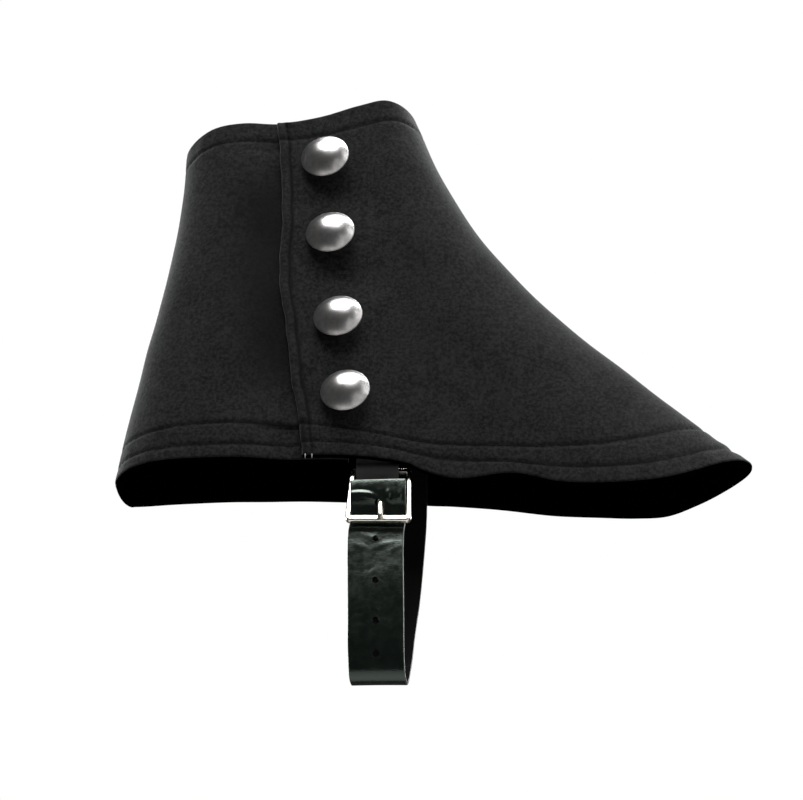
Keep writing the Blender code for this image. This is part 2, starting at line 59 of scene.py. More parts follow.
sections = {
    "up": [0, 0.12, 0.26, 0.40, 0.54, 0.68, 0.84, 1],
    "back": [0, 3.2, 7.8, 12.6, 17.6, 21.8, 25.7, 27.3],
    "front": [274.4, 249.7, 222.6, 196.4, 174.3, 156.8, 142.0, 130.8],
    "heel": [20.4, 20.6, 21.0, 21.5, 21.5, 21.5, 21.2, 21.0],
    "instep": [21.0, 20.8, 20.8, 21.0, 21.2, 21.6, 22.4, 23.0],
    "backRound": [30, 34, 38, 40, 39, 38, 36, 34],
    "innerRound": [7, 19, 31, 39, 39, 38, 36, 34],
    "frontRound": [60, 57, 51, 45, 38, 31, 24, 18],
}
hemLine = {
    "x": [0, 9, 21, 35, 63, 100, 107, 114, 121, 127, 134, 144,
          173, 190, 207, 225, 238, 251, 262, 270, 274.4],
    "outer": [0, 0.3, 0.4, 0.7, 0.8, 0.7, 0.2, -0.6, -1.8, -3.4, -7.2, -10.4,
              -9.6, -14.6, -16.2, -15.4, -12.8, -7.6, -2, 1.6, 3],
    "inner": [0, 1.0, 2.3, 3.0, 3.2, 2.0, 1.5, 1.0, 0.4, -0.3, -1.8, -2.6,
              -5.4, -7.2, -8.2, -9.2, -9.0, -5.2, -1.2, 1.6, 3],
}
hemSoft = {      # the outer hem again, as the rows above it follow it
    "x": [0, 9, 21, 35, 63, 100, 112, 124, 134, 144, 156, 173, 190, 207, 225, 238, 251, 262, 270, 274.4],
    "outer": [0, 0.3, 0.4, 0.7, 0.8, 0.2, -1.2, -3.4, -5.9, -8.2,
              -9.6, -11.0, -13.6, -15.2, -14.8, -12.4, -7.8, -2.4, 1.4, 3],
}
rimLine = {
    "x": [27.3, 38, 52, 78, 90, 105, 118, 130.8],
    "z": [173.5, 177.2, 177.8, 176.8, 179.2, 184.2, 187.6, 187.2],
}
placketEdge = {
    "up": [0, 0.11, 0.22, 0.37, 0.50, 0.85, 1],
    "x": [81.4, 79.7, 77.0, 73.8, 71.4, 71.2, 68.4],
}
underlap = {"up": [0, 0.13, 0.19, 0.30, 1], "wide": [20, 22, 27, 36, 36]}

# Waves in the felt: length along x and z, how far the side shifts them, a fixed shift and a height
feltWaves = {
    "x": [11.3, 7.1, 23.0, 4.3], "z": [17.0, -9.7, 6.3, 5.1],
    "bySide": [1, 2.1, 0, 0], "shift": [0, 0, 0, 1.7], "high": [1, 1, 1, 0.6],
}
foldWaves = {"beat": [21, 47, 83], "shift": [0, 1, 0], "high": [1, 0.6, 0.4]}

# Soft hollows in each side
hollows = {
    "x": [96, 98, 58, 68, 60, 104, 140, 176, 92],
    "z": [134, 92, 118, 52, 60, 110, 64, 34, 140],
    "wide": [15, 15, 11, 8, 16, 14, 18, 22, 12],
    "high": [9, 10, 20, 18, 12, 30, 12, 9, 20],
    "deep": [1.6, 1.8, 1.4, 1.0, 1.1, 1.2, 0.9, 0.8, 0.9],
    "side": [-1, -1, -1, -1, 1, 1, 1, 1, 1],
}

# Stitch rows as shares of the height, and beside the folded edge in millimetres
sewing = {
    "foldRow": 4.4, "foldRowLow": 1.5, "foldRowLowTop": 0.095, "foldSwell": 0.5,
    "foldRowLowFade": 0.01, "foldSwellAt": 2.0, "foldSwellWide": 1.7, "foldRowFrom": 0.005,
    "pitch": 3.1, "length": 2.3, "radius": 0.25, "sides": 8, "rings": 7, "sag": 0.42, "stand": -0.06,
    "uneven": 0.12, "shortest": 0.9, "longest": 1.08, "blunt": 0.8, "tailLevel": 0.006,
    "groove": 0.6, "grooveWide": 1.0, "steady": 0.7, "beating": 0.3,
    "pucker": 0.2, "puckerLong": 1.45, "puckerSway": 1.3, "puckerSwayLong": 6.1,
    "puckerFade": 0.45, "puckerFadeLong": 9.7,
    "puckerHem": [0.03, 0.085, 0.025], "puckerRim": [0.93, 0.02, 0.985, 0.015],
    "shadeWide": 0.75, "shadeBreak": 0.5, "shadeLong": 5.7, "shadeSwayLong": 13.1,
    # Painted shade beside the placket, on the back panel where it sinks under the front
    "placketShade": 0.8, "placketShadeFrom": 6.0, "placketShadeWide": 17.0,
    "placketShadeLow": 0.1, "placketShadeHigh": 0.75, "placketShadeFade": 0.2,
}
stitchRows = {
    "x": [0, 60, 80, 100, 150, 175, 200, 235, 274],
    "low": [0.033, 0.034, 0.036, 0.037, 0.037, 0.036, 0.035, 0.035, 0.033],
    "high": [0.088, 0.094, 0.090, 0.080, 0.079, 0.084, 0.091, 0.093, 0.088],
    "rim": [0.949, 0.949, 0.950, 0.950, 0.950, 0.950, 0.950, 0.950, 0.950],
}
rowNames = ("low", "high", "rim")


def placed(points):
    points = np.asarray(points, dtype=float)
    return (points - np.array([spat["openingX"], 0, spat["openingZ"]])) * mm


def smoothStep(t):
    t = np.clip(t, 0, 1)
    return t * t * (3 - 2 * t)


def readCurve(table, key, name, where):
    at = np.array(table[key], dtype=float)
    values = np.array(table[name], dtype=float)
    slopes = np.gradient(values, at)
    where = np.clip(np.asarray(where, dtype=float), at[0], at[-1])
    low = np.clip(np.searchsorted(at, where, side="right") - 1, 0, len(at) - 2)
    step = at[low + 1] - at[low]
    t = (where - at[low]) / step
    start = values[low] * (1 + 2 * t) * (1 - t) ** 2 + slopes[low] * step * t * (1 - t) ** 2
    end = values[low + 1] * t ** 2 * (3 - 2 * t) + slopes[low + 1] * step * t ** 2 * (t - 1)
    return start + end


def roundEnd(distance, length):
    return np.sqrt(np.maximum(1 - (1 - np.clip(distance / length, 0, 1)) ** 2, 0))


def unit(vectors):
    return vectors / np.linalg.norm(vectors, axis=-1, keepdims=True)


def lengthAlong(points):
    steps = np.linalg.norm(np.diff(points, axis=0), axis=1)
    return np.concatenate([[0], np.cumsum(steps)])


def pointAt(at, places, points):
    # The point at a place along a row of points
    return np.stack([np.interp(at, places, points[:, k]) for k in range(3)], axis=-1)


def meshObject(name, points, faces):
    mesh = bpy.data.meshes.new(name)
    mesh.from_pydata(points.tolist(), [], faces)
    mesh.shade_smooth()
    piece = bpy.data.objects.new(name, mesh)
    bpy.context.scene.collection.objects.link(piece)
    return piece


def startClean():
    if bpy.context.object and bpy.context.object.mode != "OBJECT":
        bpy.ops.object.mode_set(mode="OBJECT")
    bpy.ops.object.select_all(action="DESELECT")


def choose(piece):
    bpy.ops.object.select_all(action="DESELECT")
    piece.select_set(True)
    bpy.context.view_layer.objects.active = piece


def openAll():
    bpy.ops.object.mode_set(mode="EDIT")
    bpy.ops.mesh.select_all(action="SELECT")


def closeFacingOut():
    bpy.ops.mesh.select_all(action="SELECT")
    bpy.ops.mesh.normals_make_consistent(inside=False)
    bpy.ops.object.mode_set(mode="OBJECT")


def pick(piece, kind, test):
    # Into edit mode with only the faces or edges that pass the test
    bpy.ops.object.mode_set(mode="EDIT")
    bpy.ops.mesh.select_mode(type=kind)
    bpy.ops.mesh.select_all(action="DESELECT")
    bpy.ops.object.mode_set(mode="OBJECT")
    for part in piece.data.polygons if kind == "FACE" else piece.data.edges:
        part.select = bool(test(part))
    bpy.ops.object.mode_set(mode="EDIT")


def addBevel(piece, width, segments):
    bevel = piece.modifiers.new("softEdges", "BEVEL")
    bevel.width = width * mm
    bevel.segments = segments
    bevel.limit_method = "ANGLE"
    bevel.angle_limit = sharpAngle


def setDown(piece, matrix):
    # The place goes into the mesh, so the object stays at the origin
    bpy.ops.object.mode_set(mode="OBJECT")
    piece.matrix_world = matrix
    choose(piece)
    bpy.ops.object.transform_apply(location=True, rotation=True, scale=True)


def applyAll(piece):
    choose(piece)
    for modifier in list(piece.modifiers):
        bpy.ops.object.modifier_apply(modifier=modifier.name)


def smoothBelow(piece, degrees):
    choose(piece)
    bpy.ops.object.shade_smooth_by_angle(angle=math.radians(degrees))


# Felt panels
def clothFace(up, along, side):
    back = readCurve(sections, "up", "back", up)
    front = readCurve(sections, "up", "front", up)
    x = back + (front - back) * along
    heel = readCurve(sections, "up", "heel", up)
    half = heel + (readCurve(sections, "up", "instep", up) - heel) * smoothStep(along)
    fromWaist = (x - spat["waistX"]) / spat["waistSpread"]
    half = half - spat["waistDeep"] * np.exp(-fromWaist ** 2) * (1 - up) ** 2
    slow = roundEnd(x - back, readCurve(sections, "up", "backRound", up))
    quick = roundEnd(x - back, readCurve(sections, "up", "innerRound", up))
    half = half * (slow if side < 0 else slow + (quick - slow) * spat["cornerShare"])
    half = half * roundEnd(front - x, readCurve(sections, "up", "frontRound", up))
    hemX = sections["front"][0] * along
    rimX = sections["back"][-1] + (sections["front"][-1] - sections["back"][-1]) * along
    hemZ = readCurve(hemLine, "x", "outer" if side < 0 else "inner", hemX)
    if side < 0:
        hemZ = hemZ + (readCurve(hemSoft, "x", "outer", hemX) - hemZ) * smoothStep(up / spat["softHem"])
    z = hemZ * (1 - up) + readCurve(rimLine, "x", "z", rimX) * up
    for cx, cz, wide, high, deep, where in zip(*hollows.values()):
        if where == side:
            half = half - deep * np.exp(-((x - cx) / wide) ** 2 - ((z - cz) / high) ** 2)
    return np.stack([x, side * (half + spat["seamGap"] / 2), z], axis=-1)


def shareAt(up, x):
    back = readCurve(sections, "up", "back", up)
    return (x - back) / (readCurve(sections, "up", "front", up) - back)


def rowsUp():
    # Closer together beside the hem and the rim, where the stitches are
    bands = [np.linspace(*band) for band in zip(*rowBands.values())]
    return np.concatenate([bands[0], *(band[1:] for band in bands[1:])])


def thickness(ups):
    inside = np.minimum(ups, 1 - ups)
    thin = smoothStep((inside - spat["turnedShare"]) / spat["turnedStep"])
    return spat["turned"] + (spat["wall"] - spat["turned"]) * thin


def lumps(face, side):
    # Felt is never quite even: a few slow waves, tenths of a millimetre high
    x, z = face[..., 0], face[..., 2]
    waves = [high * np.sin(x / longX + z / longZ + shift + bySide * side)
             for longX, longZ, bySide, shift, high in zip(*feltWaves.values())]
    return spat["lump"] * sum(waves)


def acrossRow(distance, wide):
    return np.exp(-(distance / wide) ** 2)


def stitchBeat(distance):
    # 1 at a stitch and 0 between two
    return 0.5 + 0.5 * np.cos(2 * math.pi * distance / sewing["pitch"])


def sewnIn(ups, face, arc, side, foldStart):
    # How far stitch rows pull the cloth in, and the painted shade they lay along their grooves
    height = face[-1, :, 2] - face[0, :, 2]
    level = ups[:, None] * height[None, :]
    beat = stitchBeat(arc)
    depth = np.zeros(arc.shape)
    shade = np.zeros(arc.shape)
    wide, dark = sewing["grooveWide"], sewing["shadeWide"]
    for name in rowNames:
        gap = level - readCurve(stitchRows, "x", name, face[..., 0]) * height[None, :]
        depth += sewing["groove"] * acrossRow(gap, wide) * (sewing["steady"] + sewing["beating"] * beat)
        sway = np.sin(arc / sewing["shadeSwayLong"] + side)
        patchy = 1 - sewing["shadeBreak"] * (0.5 + 0.5 * np.sin(arc / sewing["shadeLong"] + 2 * sway))
        shade = np.maximum(shade, acrossRow(gap, dark) * patchy)
    x = face[..., 0]
    fade = sewing["puckerFade"]
    ripple = np.sin(x / sewing["puckerLong"] + sewing["puckerSway"] * np.sin(x / sewing["puckerSwayLong"]))
    ripple = ripple * (1 - fade + fade * np.sin(x / sewing["puckerFadeLong"] + side))
    rise, top, fade = sewing["puckerHem"]
    low = smoothStep(ups / rise) * (1 - smoothStep((ups - top) / fade))
    bottom, rise, top, fade = sewing["puckerRim"]
    high = smoothStep((ups - bottom) / rise) * (1 - smoothStep((ups - top) / fade))
    depth += sewing["pucker"] * ripple * (low + high)[:, None]
    if foldStart:
        gap = arc - sewing["foldRow"]
        depth -= sewing["foldSwell"] * acrossRow(arc - sewing["foldSwellAt"], sewing["foldSwellWide"])
        firm = sewing["steady"] + sewing["beating"] * stitchBeat(level)
        depth += sewing["groove"] * acrossRow(gap, wide) * firm
        shade = np.maximum(shade, acrossRow(gap, dark))
        short = (1 - smoothStep((ups - sewing["foldRowLowTop"]) / sewing["foldRowLowFade"]))[:, None]
        gap = arc - sewing["foldRowLow"]
        depth += sewing["groove"] * acrossRow(gap, wide) * short
        shade = np.maximum(shade, acrossRow(gap, dark) * short)
    return depth, shade


def spreadColumns(length, count, startEdge, endEdge):
    # Distances along a row, closer together beside an edge
    fine = np.array(edgeColumns)
    first = fine if startEdge else np.array([0.0])
    last = length - fine[::-1] if endEdge else np.array([length])
    middle = np.linspace(first[-1], last[0], count)
    return np.concatenate([first[:-1], middle, last[1:]])


def makePanel(name, side, starts, ends, startEdge, endEdge, sink=None):
    ups = rowsUp()
    dense = (1 - np.cos(np.linspace(0, math.pi, spat["samples"]))) / 2
    rows = []
    for up, start, end in zip(ups, starts, ends):
        line = clothFace(np.full(dense.shape, up), dense, side)
        length = lengthAlong(line[:, :2])
        rows.append((length, *np.interp([start, end], dense, length)))
    longest = max(last - first for _, first, last in rows)
    count = int(longest / spat["columnStep"])
    face, arc = [], []
    for up, (length, first, last) in zip(ups, rows):
        spread = spreadColumns(last - first, count, startEdge, endEdge)
        shares = np.interp(first + spread, length, dense)
        face.append(clothFace(np.full(shares.shape, up), shares, side))
        arc.append(spread)
    face, arc = np.array(face), np.array(arc)
    toEnd = arc[:, -1:] - arc

    normal = np.cross(np.gradient(face, axis=1), np.gradient(face, axis=0)) * -side
    for edge, column in ((startEdge, 0), (endEdge, -1)):
        if edge == "seam":
            normal[:, column, 1] = 0
    normal = unit(normal)

    thick = thickness(ups)[:, None] * np.ones(arc.shape)
    sunk = np.zeros(arc.shape)
    if sink is not None:
        sunk, lifted = sink(ups, face)
        face[..., 2] += lifted
    pulled, shade = sewnIn(ups, face, arc, side, startEdge == "fold")
    if sink is not None:
        # Painted shade on the back panel beside the placket's folded edge, fading out towards the hem and
        # the rim
        away = (edgeX[:, None] - sewing["placketShadeFrom"] - face[..., 0]) / sewing["placketShadeWide"]
        middle = smoothStep((ups - sewing["placketShadeLow"]) / sewing["placketShadeFade"])
        middle = middle * (1 - smoothStep((ups - sewing["placketShadeHigh"]) / sewing["placketShadeFade"]))
        shade = np.maximum(shade, sewing["placketShade"] * np.exp(-away ** 2) * middle[:, None])
    calm = smoothStep(np.minimum(ups, 1 - ups) / spat["calmRow"])[:, None]
    nearEnds = smoothStep(arc / spat["calmEnd"]) * smoothStep(toEnd / spat["calmEnd"])
    pulled = pulled * calm * (nearEnds if startEdge != "fold" else 1)
    pulled = pulled + lumps(face, side) * nearEnds * spat["lumpFace"]
    full = np.ones(arc.shape)
    for edge, distance in ((startEdge, arc), (endEdge, toEnd)):
        if edge == "fold":
            full = roundEnd(distance, spat["foldRound"])
        if edge == "seam":
            pulled = pulled + spat["seamRound"] * (1 - roundEnd(distance, spat["seamRound"]))
    base = face - normal * sunk[..., None]
    outer = base - normal * (pulled + thick / 2 * (1 - full))[..., None]
    uneven = spat["lumpInside"] * lumps(face, -side) * nearEnds
    inner = base - normal * (thick / 2 * (1 + full) + uneven)[..., None]

    loops, marks = [*outer], [*shade]
    for edge, beside in ((-1, -2), (0, 1)):
        away = unit(outer[edge] - outer[beside])
        middle = (outer[edge] + inner[edge]) / 2
        out = (outer[edge] - inner[edge]) / 2
        reach = np.linalg.norm(out, axis=1, keepdims=True) * 2 * spat["edgeNose"]
        nose = [middle + out * math.cos(turn) + away * reach * math.sin(turn) for turn in noseTurns]
        loops += nose if edge == -1 else nose[::-1]
        marks += [np.zeros(len(middle))] * len(nose)
        if edge == -1:
            loops += [*inner[::-1]]
            marks += [np.zeros(len(middle))] * len(inner)

    panel = closeShell(name, placed(np.array(loops)), np.array(marks), len(ups))
    return {"object": panel, "outer": outer, "normal": normal, "arc": arc, "ups": ups}


def closeShell(name, verts, marks, rowCount):
    # Slot 0 is the napped face and slot 1 the inside and the turned edges; slot 1 is painted shade, a
    # darker felt without sheen
    loopCount, columns = verts.shape[:2]
    index = np.arange(loopCount * columns).reshape(loopCount, columns)
    here, there = index, np.roll(index, -1, axis=0)
    quads = np.stack([here[:, :-1], here[:, 1:], there[:, 1:], there[:, :-1]], axis=-1).reshape(-1, 4)
    faces = [tuple(quad) for quad in quads.tolist()]
    nose = (loopCount - 2 * rowCount) // 2
    innerTop = rowCount + nose
    for column, flip in ((0, True), (columns - 1, False)):
        ring = index[:, column].tolist()
        caps = [(ring[i], ring[i + 1], ring[innerTop + rowCount - 2 - i], ring[innerTop + rowCount - 1 - i])
                for i in range(rowCount - 1)]
        caps.append(tuple(ring[rowCount - 1:innerTop + 1]))
        caps.append(tuple(ring[innerTop + rowCount - 1:] + [ring[0]]))
        faces += [cap[::-1] if flip else cap for cap in caps]
    panel = meshObject(name, verts.reshape(-1, 3), faces)
    mesh = panel.data
    # Slot 1, the painted shade, goes on the inside rows and most of the turned edges
    inside = np.zeros(loopCount, dtype=np.int32)
    inside[rowCount + nose // 2 + 1:loopCount - 2] = 1
    endSlots = np.zeros(len(faces) - len(quads), dtype=np.int32)
    mesh.polygons.foreach_set("material_index", np.concatenate([np.repeat(inside, columns - 1), endSlots]))
    # Painted shade along the stitch grooves and beside the placket, for the felt to darken by
    paintedShade = mesh.attributes.new("paintedShade", "FLOAT", "POINT")
    paintedShade.data.foreach_set("value", marks.reshape(-1).astype(np.float32))
    choose(panel)
    bpy.ops.object.mode_set(mode="EDIT")
    closeFacingOut()
    return panel


# Threads
def lineAcross(panel, name, first, last):
    # The stitch row of that name, between two columns of the panel's grid
    row = int(np.argmin(np.abs(panel["ups"] - stitchRows[name][0])))
    columns = range(panel["outer"].shape[1])[first:last]
    share = readCurve(stitchRows, "x", name, panel["outer"][row, :, 0])
    points, normals = (np.array([pointAt(share[j], panel["ups"], panel[kind][:, j]) for j in columns])
                       for kind in ("outer", "normal"))
    return points, normals


def lineUp(panel, distance, lowest, highest):
    # The row at a distance from the panel's first edge, between two heights
    keep = [i for i, up in enumerate(panel["ups"]) if lowest <= up <= highest]
    points, normals = (np.array([pointAt(distance, panel["arc"][i], panel[kind][i]) for i in keep])
                       for kind in ("outer", "normal"))
    return points, normals


def oneStitch():
    bpy.ops.object.select_all(action="DESELECT")
    bpy.ops.mesh.primitive_uv_sphere_add(segments=sewing["sides"], ring_count=sewing["rings"], radius=1,
                                         rotation=(0, math.radians(90), 0))
    ball = bpy.context.object
    bpy.ops.object.transform_apply(rotation=True)
    points = np.array([vertex.co for vertex in ball.data.vertices])
    faces = [list(face.vertices) for face in ball.data.polygons]
    mesh = ball.data
    bpy.data.objects.remove(ball, do_unlink=True)
    bpy.data.meshes.remove(mesh)
    points[:, 0] = np.sign(points[:, 0]) * np.abs(points[:, 0]) ** sewing["blunt"]
    return points, faces


def sew(name, lines, skipEnds=1.5):
    shape, shapeFaces = oneStitch()
    verts, faces = [], []
    for points, normals in lines:
        length = lengthAlong(points)
        count = int((length[-1] - 2 * skipEnds) / sewing["pitch"])
        for at in skipEnds + (np.arange(count) + 0.5) * (length[-1] - 2 * skipEnds) / max(count, 1):
            at += dice.uniform(-sewing["uneven"], sewing["uneven"])
            half = sewing["length"] / 2 * dice.uniform(sewing["shortest"], sewing["longest"])
            here, before, after = (pointAt(place, length, points) for place in (at, at - half, at + half))
            up = unit(pointAt(at, length, normals))
            along = unit(after - before)
            across = np.cross(up, along)
            sag = sewing["sag"] * shape[:, 0:1] ** 2
            spot = (here + along * shape[:, 0:1] * half + across * shape[:, 1:2] * sewing["radius"]
                    + up * (shape[:, 2:3] * sewing["radius"] - sag + sewing["stand"]))
            start = len(verts) * len(shape)
            verts.append(spot)
            faces += [[start + corner for corner in face] for face in shapeFaces]
    return meshObject(name, placed(np.concatenate(verts)), faces)


def sewEnds(name, panel, distances):
    # Cut thread ends that hang from the hem below two rows
    lines = []
    for distance in distances:
        points, normals = lineUp(panel, distance, 0, sewing["tailLevel"])
        start = points[0] + normals[0] * sewing["radius"]
        end = start - [0, 0, sewing["pitch"] + 0.02]      # just long enough for one stitch
        lines.append((np.array([start, end]), normals[[0, 0]]))
    return sew(name, lines, skipEnds=0)


# Buttons
buttonLook = {
    "radius": 10.8, "dome": 4.7, "edge": 1.2, "face": 0.975, "ringDrop": 0.02, "steps": 14,
    "poleShare": 0.6, "sides": 72, "lip": 0.4, "lipSteps": 4, "rimFrom": 0.985,
    "backRim": 0.9, "backRecess": 0.5, "backSlope": 0.3,
    "shankRadius": 3.0, "shankLength": 2.4, "shankGap": 0.3, "smoothAngle": 42,
    "z": [154.6, 113.6, 68.8, 30.2], "fromEdge": [20.2, 22.6, 23.8, 22.3],
    "upTilt": [2, 3, 4, 4], "backTilt": [9, 7, 8, 8],
}


def spotOnOuter(x, z):
    # The outer side's point there and which way it faces
    up = z / spat["openingZ"]
    for _ in range(8):
        up = up + (z - clothFace(up, shareAt(up, x), -1)[2]) / spat["openingZ"]
    along, nudge = shareAt(up, x), 0.01
    toToe = clothFace(up, along + nudge, -1) - clothFace(up, along - nudge, -1)
    toRim = clothFace(up + nudge, along, -1) - clothFace(up - nudge, along, -1)
    normal = np.cross(toToe, toRim)
    return clothFace(up, along, -1), normal / np.linalg.norm(normal)


def makeButton(name, z, fromEdge, upTilt, backTilt):
    look = buttonLook
    radius, edge = look["radius"] * mm, look["edge"] * mm
    startClean()
    bpy.ops.mesh.primitive_circle_add(vertices=look["sides"], radius=radius, fill_type="NGON",
                                      location=(0, 0, -edge))
    button = bpy.context.object
    button.name = button.data.name = name
    bpy.ops.object.transform_apply(location=True)
    openAll()
    bpy.ops.mesh.extrude_region_move(TRANSFORM_OT_translate={"value": (0, 0, edge)})
    face = look["radius"] * look["face"]
    sphere = (face ** 2 + look["dome"] ** 2) / (2 * look["dome"])
    spread = math.asin(face / sphere)
    bpy.ops.mesh.inset(thickness=(look["radius"] - face) * mm, depth=-look["ringDrop"] * mm)
    at, height = face, 0.0
    for step in range(1, look["steps"] + 1):
        angle = spread * (1 - step / (look["steps"] + look["poleShare"]))
        nextAt, nextHeight = sphere * math.sin(angle), sphere * math.cos(angle) - sphere + look["dome"]
        bpy.ops.mesh.inset(thickness=(at - nextAt) * mm, depth=(nextHeight - height) * mm)
        at, height = nextAt, nextHeight
    bpy.ops.mesh.poke()
    bpy.ops.object.mode_set(mode="OBJECT")
    pick(button, "FACE", lambda f: f.normal.z < -0.5 and f.center.z < -0.9 * edge)
    bpy.ops.mesh.inset(thickness=look["backRim"] * mm, depth=0)
    bpy.ops.mesh.inset(thickness=look["backSlope"] * mm, depth=-look["backRecess"] * mm)
    plate = look["radius"] - look["backRim"] - look["backSlope"] - look["shankRadius"]
    bpy.ops.mesh.inset(thickness=plate * mm, depth=0)
    down = (look["shankLength"] + look["backRecess"]) * mm
    bpy.ops.mesh.extrude_region_move(TRANSFORM_OT_translate={"value": (0, 0, -down)})
    bpy.ops.object.mode_set(mode="OBJECT")

    def onRim(part):
        one, two = (button.data.vertices[i].co for i in part.vertices)
        level = abs(one.z - two.z) < nearly
        return level and min(one.xy.length, two.xy.length) > look["rimFrom"] * radius

    pick(button, "EDGE", onRim)
    bpy.ops.mesh.bevel(offset=look["lip"] * mm, segments=look["lipSteps"], affect="EDGES")
    closeFacingOut()
    polarMap(button.data)
    edgeX = float(readCurve(placketEdge, "up", "x", z / spat["openingZ"]))
    point, normal = spotOnOuter(edgeX + fromEdge, z)
    axis = Vector(normal)
    axis.rotate(Matrix.Rotation(math.radians(-upTilt), 3, "X"))
    axis.rotate(Matrix.Rotation(math.radians(-backTilt), 3, "Z"))
    lean = axis.angle(Vector(normal))
    stand = look["shankGap"] + look["shankRadius"] * math.sin(lean) + look["shankLength"] + look["edge"]
    place = Vector(placed(point)) + axis * stand * mm
    setDown(button, Matrix.Translation(place) @ axis.to_track_quat("Z", "Y").to_matrix().to_4x4())
    smoothBelow(button, look["smoothAngle"])
    return button


def polarMap(mesh):
    # Turned metal: u goes round the button and v out from its middle
    layer = mesh.uv_layers.new(name="turned")
    for face in mesh.polygons:
        corners = [mesh.vertices[mesh.loops[i].vertex_index].co for i in face.loop_indices]
        turns = [math.atan2(c.y, c.x) / (2 * math.pi) for c in corners]
        centre = math.atan2(face.center.y, face.center.x) / (2 * math.pi)
        for i, corner, turn in zip(face.loop_indices, corners, turns):
            if corner.xy.length < 0.05 * mm:
                turn = centre
            turn += round(centre - turn)
            layer.data[i].uv = (turn, corner.xy.length / (buttonLook["radius"] * mm))


# Strap and chape: strips bent along a route in the plane that the strap hangs in
strapLook = {
    "width": 23.8, "thick": 1.8, "rowStep": 0.6, "columns": 40, "edgeRound": 0.5,
    "x": [122.4, 122.4, 122.2, 121.0, 119.2, 117.2, 115.6, 114.2, 113.6, 113.2, 113.2, 113.1, 113.0, 113.3,
          114.1, 114.2, 114.2, 114.2, 114.2, 114.2, 114.2, 114.2],
    "y": [13.7, 13.8, 14.0, 14.2, 13.4, 11.6, 8.0, 2.6, -3.4, -8.6, -11.9, -12.9, -12.6, -12.0,
          -12.2, -14.5, -16.3, -16.95, -17.0, -16.95, -16.85, -16.7],
    "z": [17.0, 4.0, -12.0, -32.0, -54.0, -72.0, -90.0, -100.8, -101.2, -92.8, -77.0, -60.0, -44.0, -34.0,
          -28.0, -22.8, -20.2, -18.3, -15.2, -13.6, -12.2, -11.2],
    "holeRadius": 1.55, "holeSides": 24, "holeCut": 8.0, "holes": [-38.5, -59.7, -78.8, -92.8],
    "prongHole": -21.6, "prongHoleLong": 1.6, "holeDimple": 0.1, "holeSpread": 2.4, "smoothAngle": 45,
    "twist": 0.12, "twistLong": 7.3, "bow": 0.1, "bowLong": 4.1, "bowHalf": 11.7,
    "creaseBend": 0.03, "creaseLip": 0.6, "creaseLipAt": 1.7,
}
# Creases in the strap: middle height, place across, length, width, depth and tilt
creases = {
    "z": [-33.5, -36.5, -41.5, -44.0, -31.0, -42.5, -18.6, -18.8, -19.2, -19.3,
          -55.0, -60.5, -74.0, -79.5],
    "at": [4.5, -5.0, 4.0, 7.5, -3.0, -5.5, -6.0, 4.0, 7.0, 8.9, -1.0, 1.5, 0.5, -1.0],
    "long": [5.0, 4.0, 5.0, 3.2, 7.0, 3.6, 10.0, 1.3, 1.2, 1.2, 2.6, 2.6, 2.4, 2.6],
    "wide": [1.2, 1.1, 1.4, 1.1, 1.5, 1.1, 1.1, 0.9, 0.8, 0.8, 0.9, 0.9, 0.8, 0.9],
    "deep": [0.06, 0.05, 0.06, 0.05, 0.05, 0.05, 0.42, 0.4, 0.5, 0.5, 0.05, 0.05, 0.05, 0.05],
    "tilt": [0.35, -0.3, 0.25, 0.6, 0.06, -0.5, -0.14, 1.4, 1.3, 1.4, 0.5, -0.6, -0.5, 0.5],
}
chapeLook = {
    "width": 18.4, "thick": 1.3, "rowStep": 0.6, "columns": 30, "edgeRound": 0.4, "smoothAngle": 45,
    "ringFrom": 180, "ringTo": 380, "ringStep": 20,      # from the front, under the bar, up to its back
    "slot": 5.0, "slotTop": 0.4, "slotFront": 1.0, "ring": 2.4, "barY": -11.7, "barZ": -3.8, "x": 113.7,
    "frontY": [-14.2, -14.1, -11.6, -11.6, -11.7, -11.9, -13.2], "frontZ": [28, 19, 12, 3, 1.0, 0.1, -1.8],
    "backY": [-9.8, -9.8], "backZ": [1.0, 12.0],
}


def routeLine(route, step, samples=2400):
    route = np.array(route, dtype=float)
    chord = lengthAlong(route)
    dense = np.linspace(0, chord[-1], samples)
    table = {"at": chord, "x": route[:, 0], "y": route[:, 1], "z": route[:, 2]}
    curve = np.stack([readCurve(table, "at", axis, dense) for axis in "xyz"], axis=-1)
    length = lengthAlong(curve)
    even = np.linspace(0, length[-1], int(length[-1] / step))
    return pointAt(even, length, curve), even


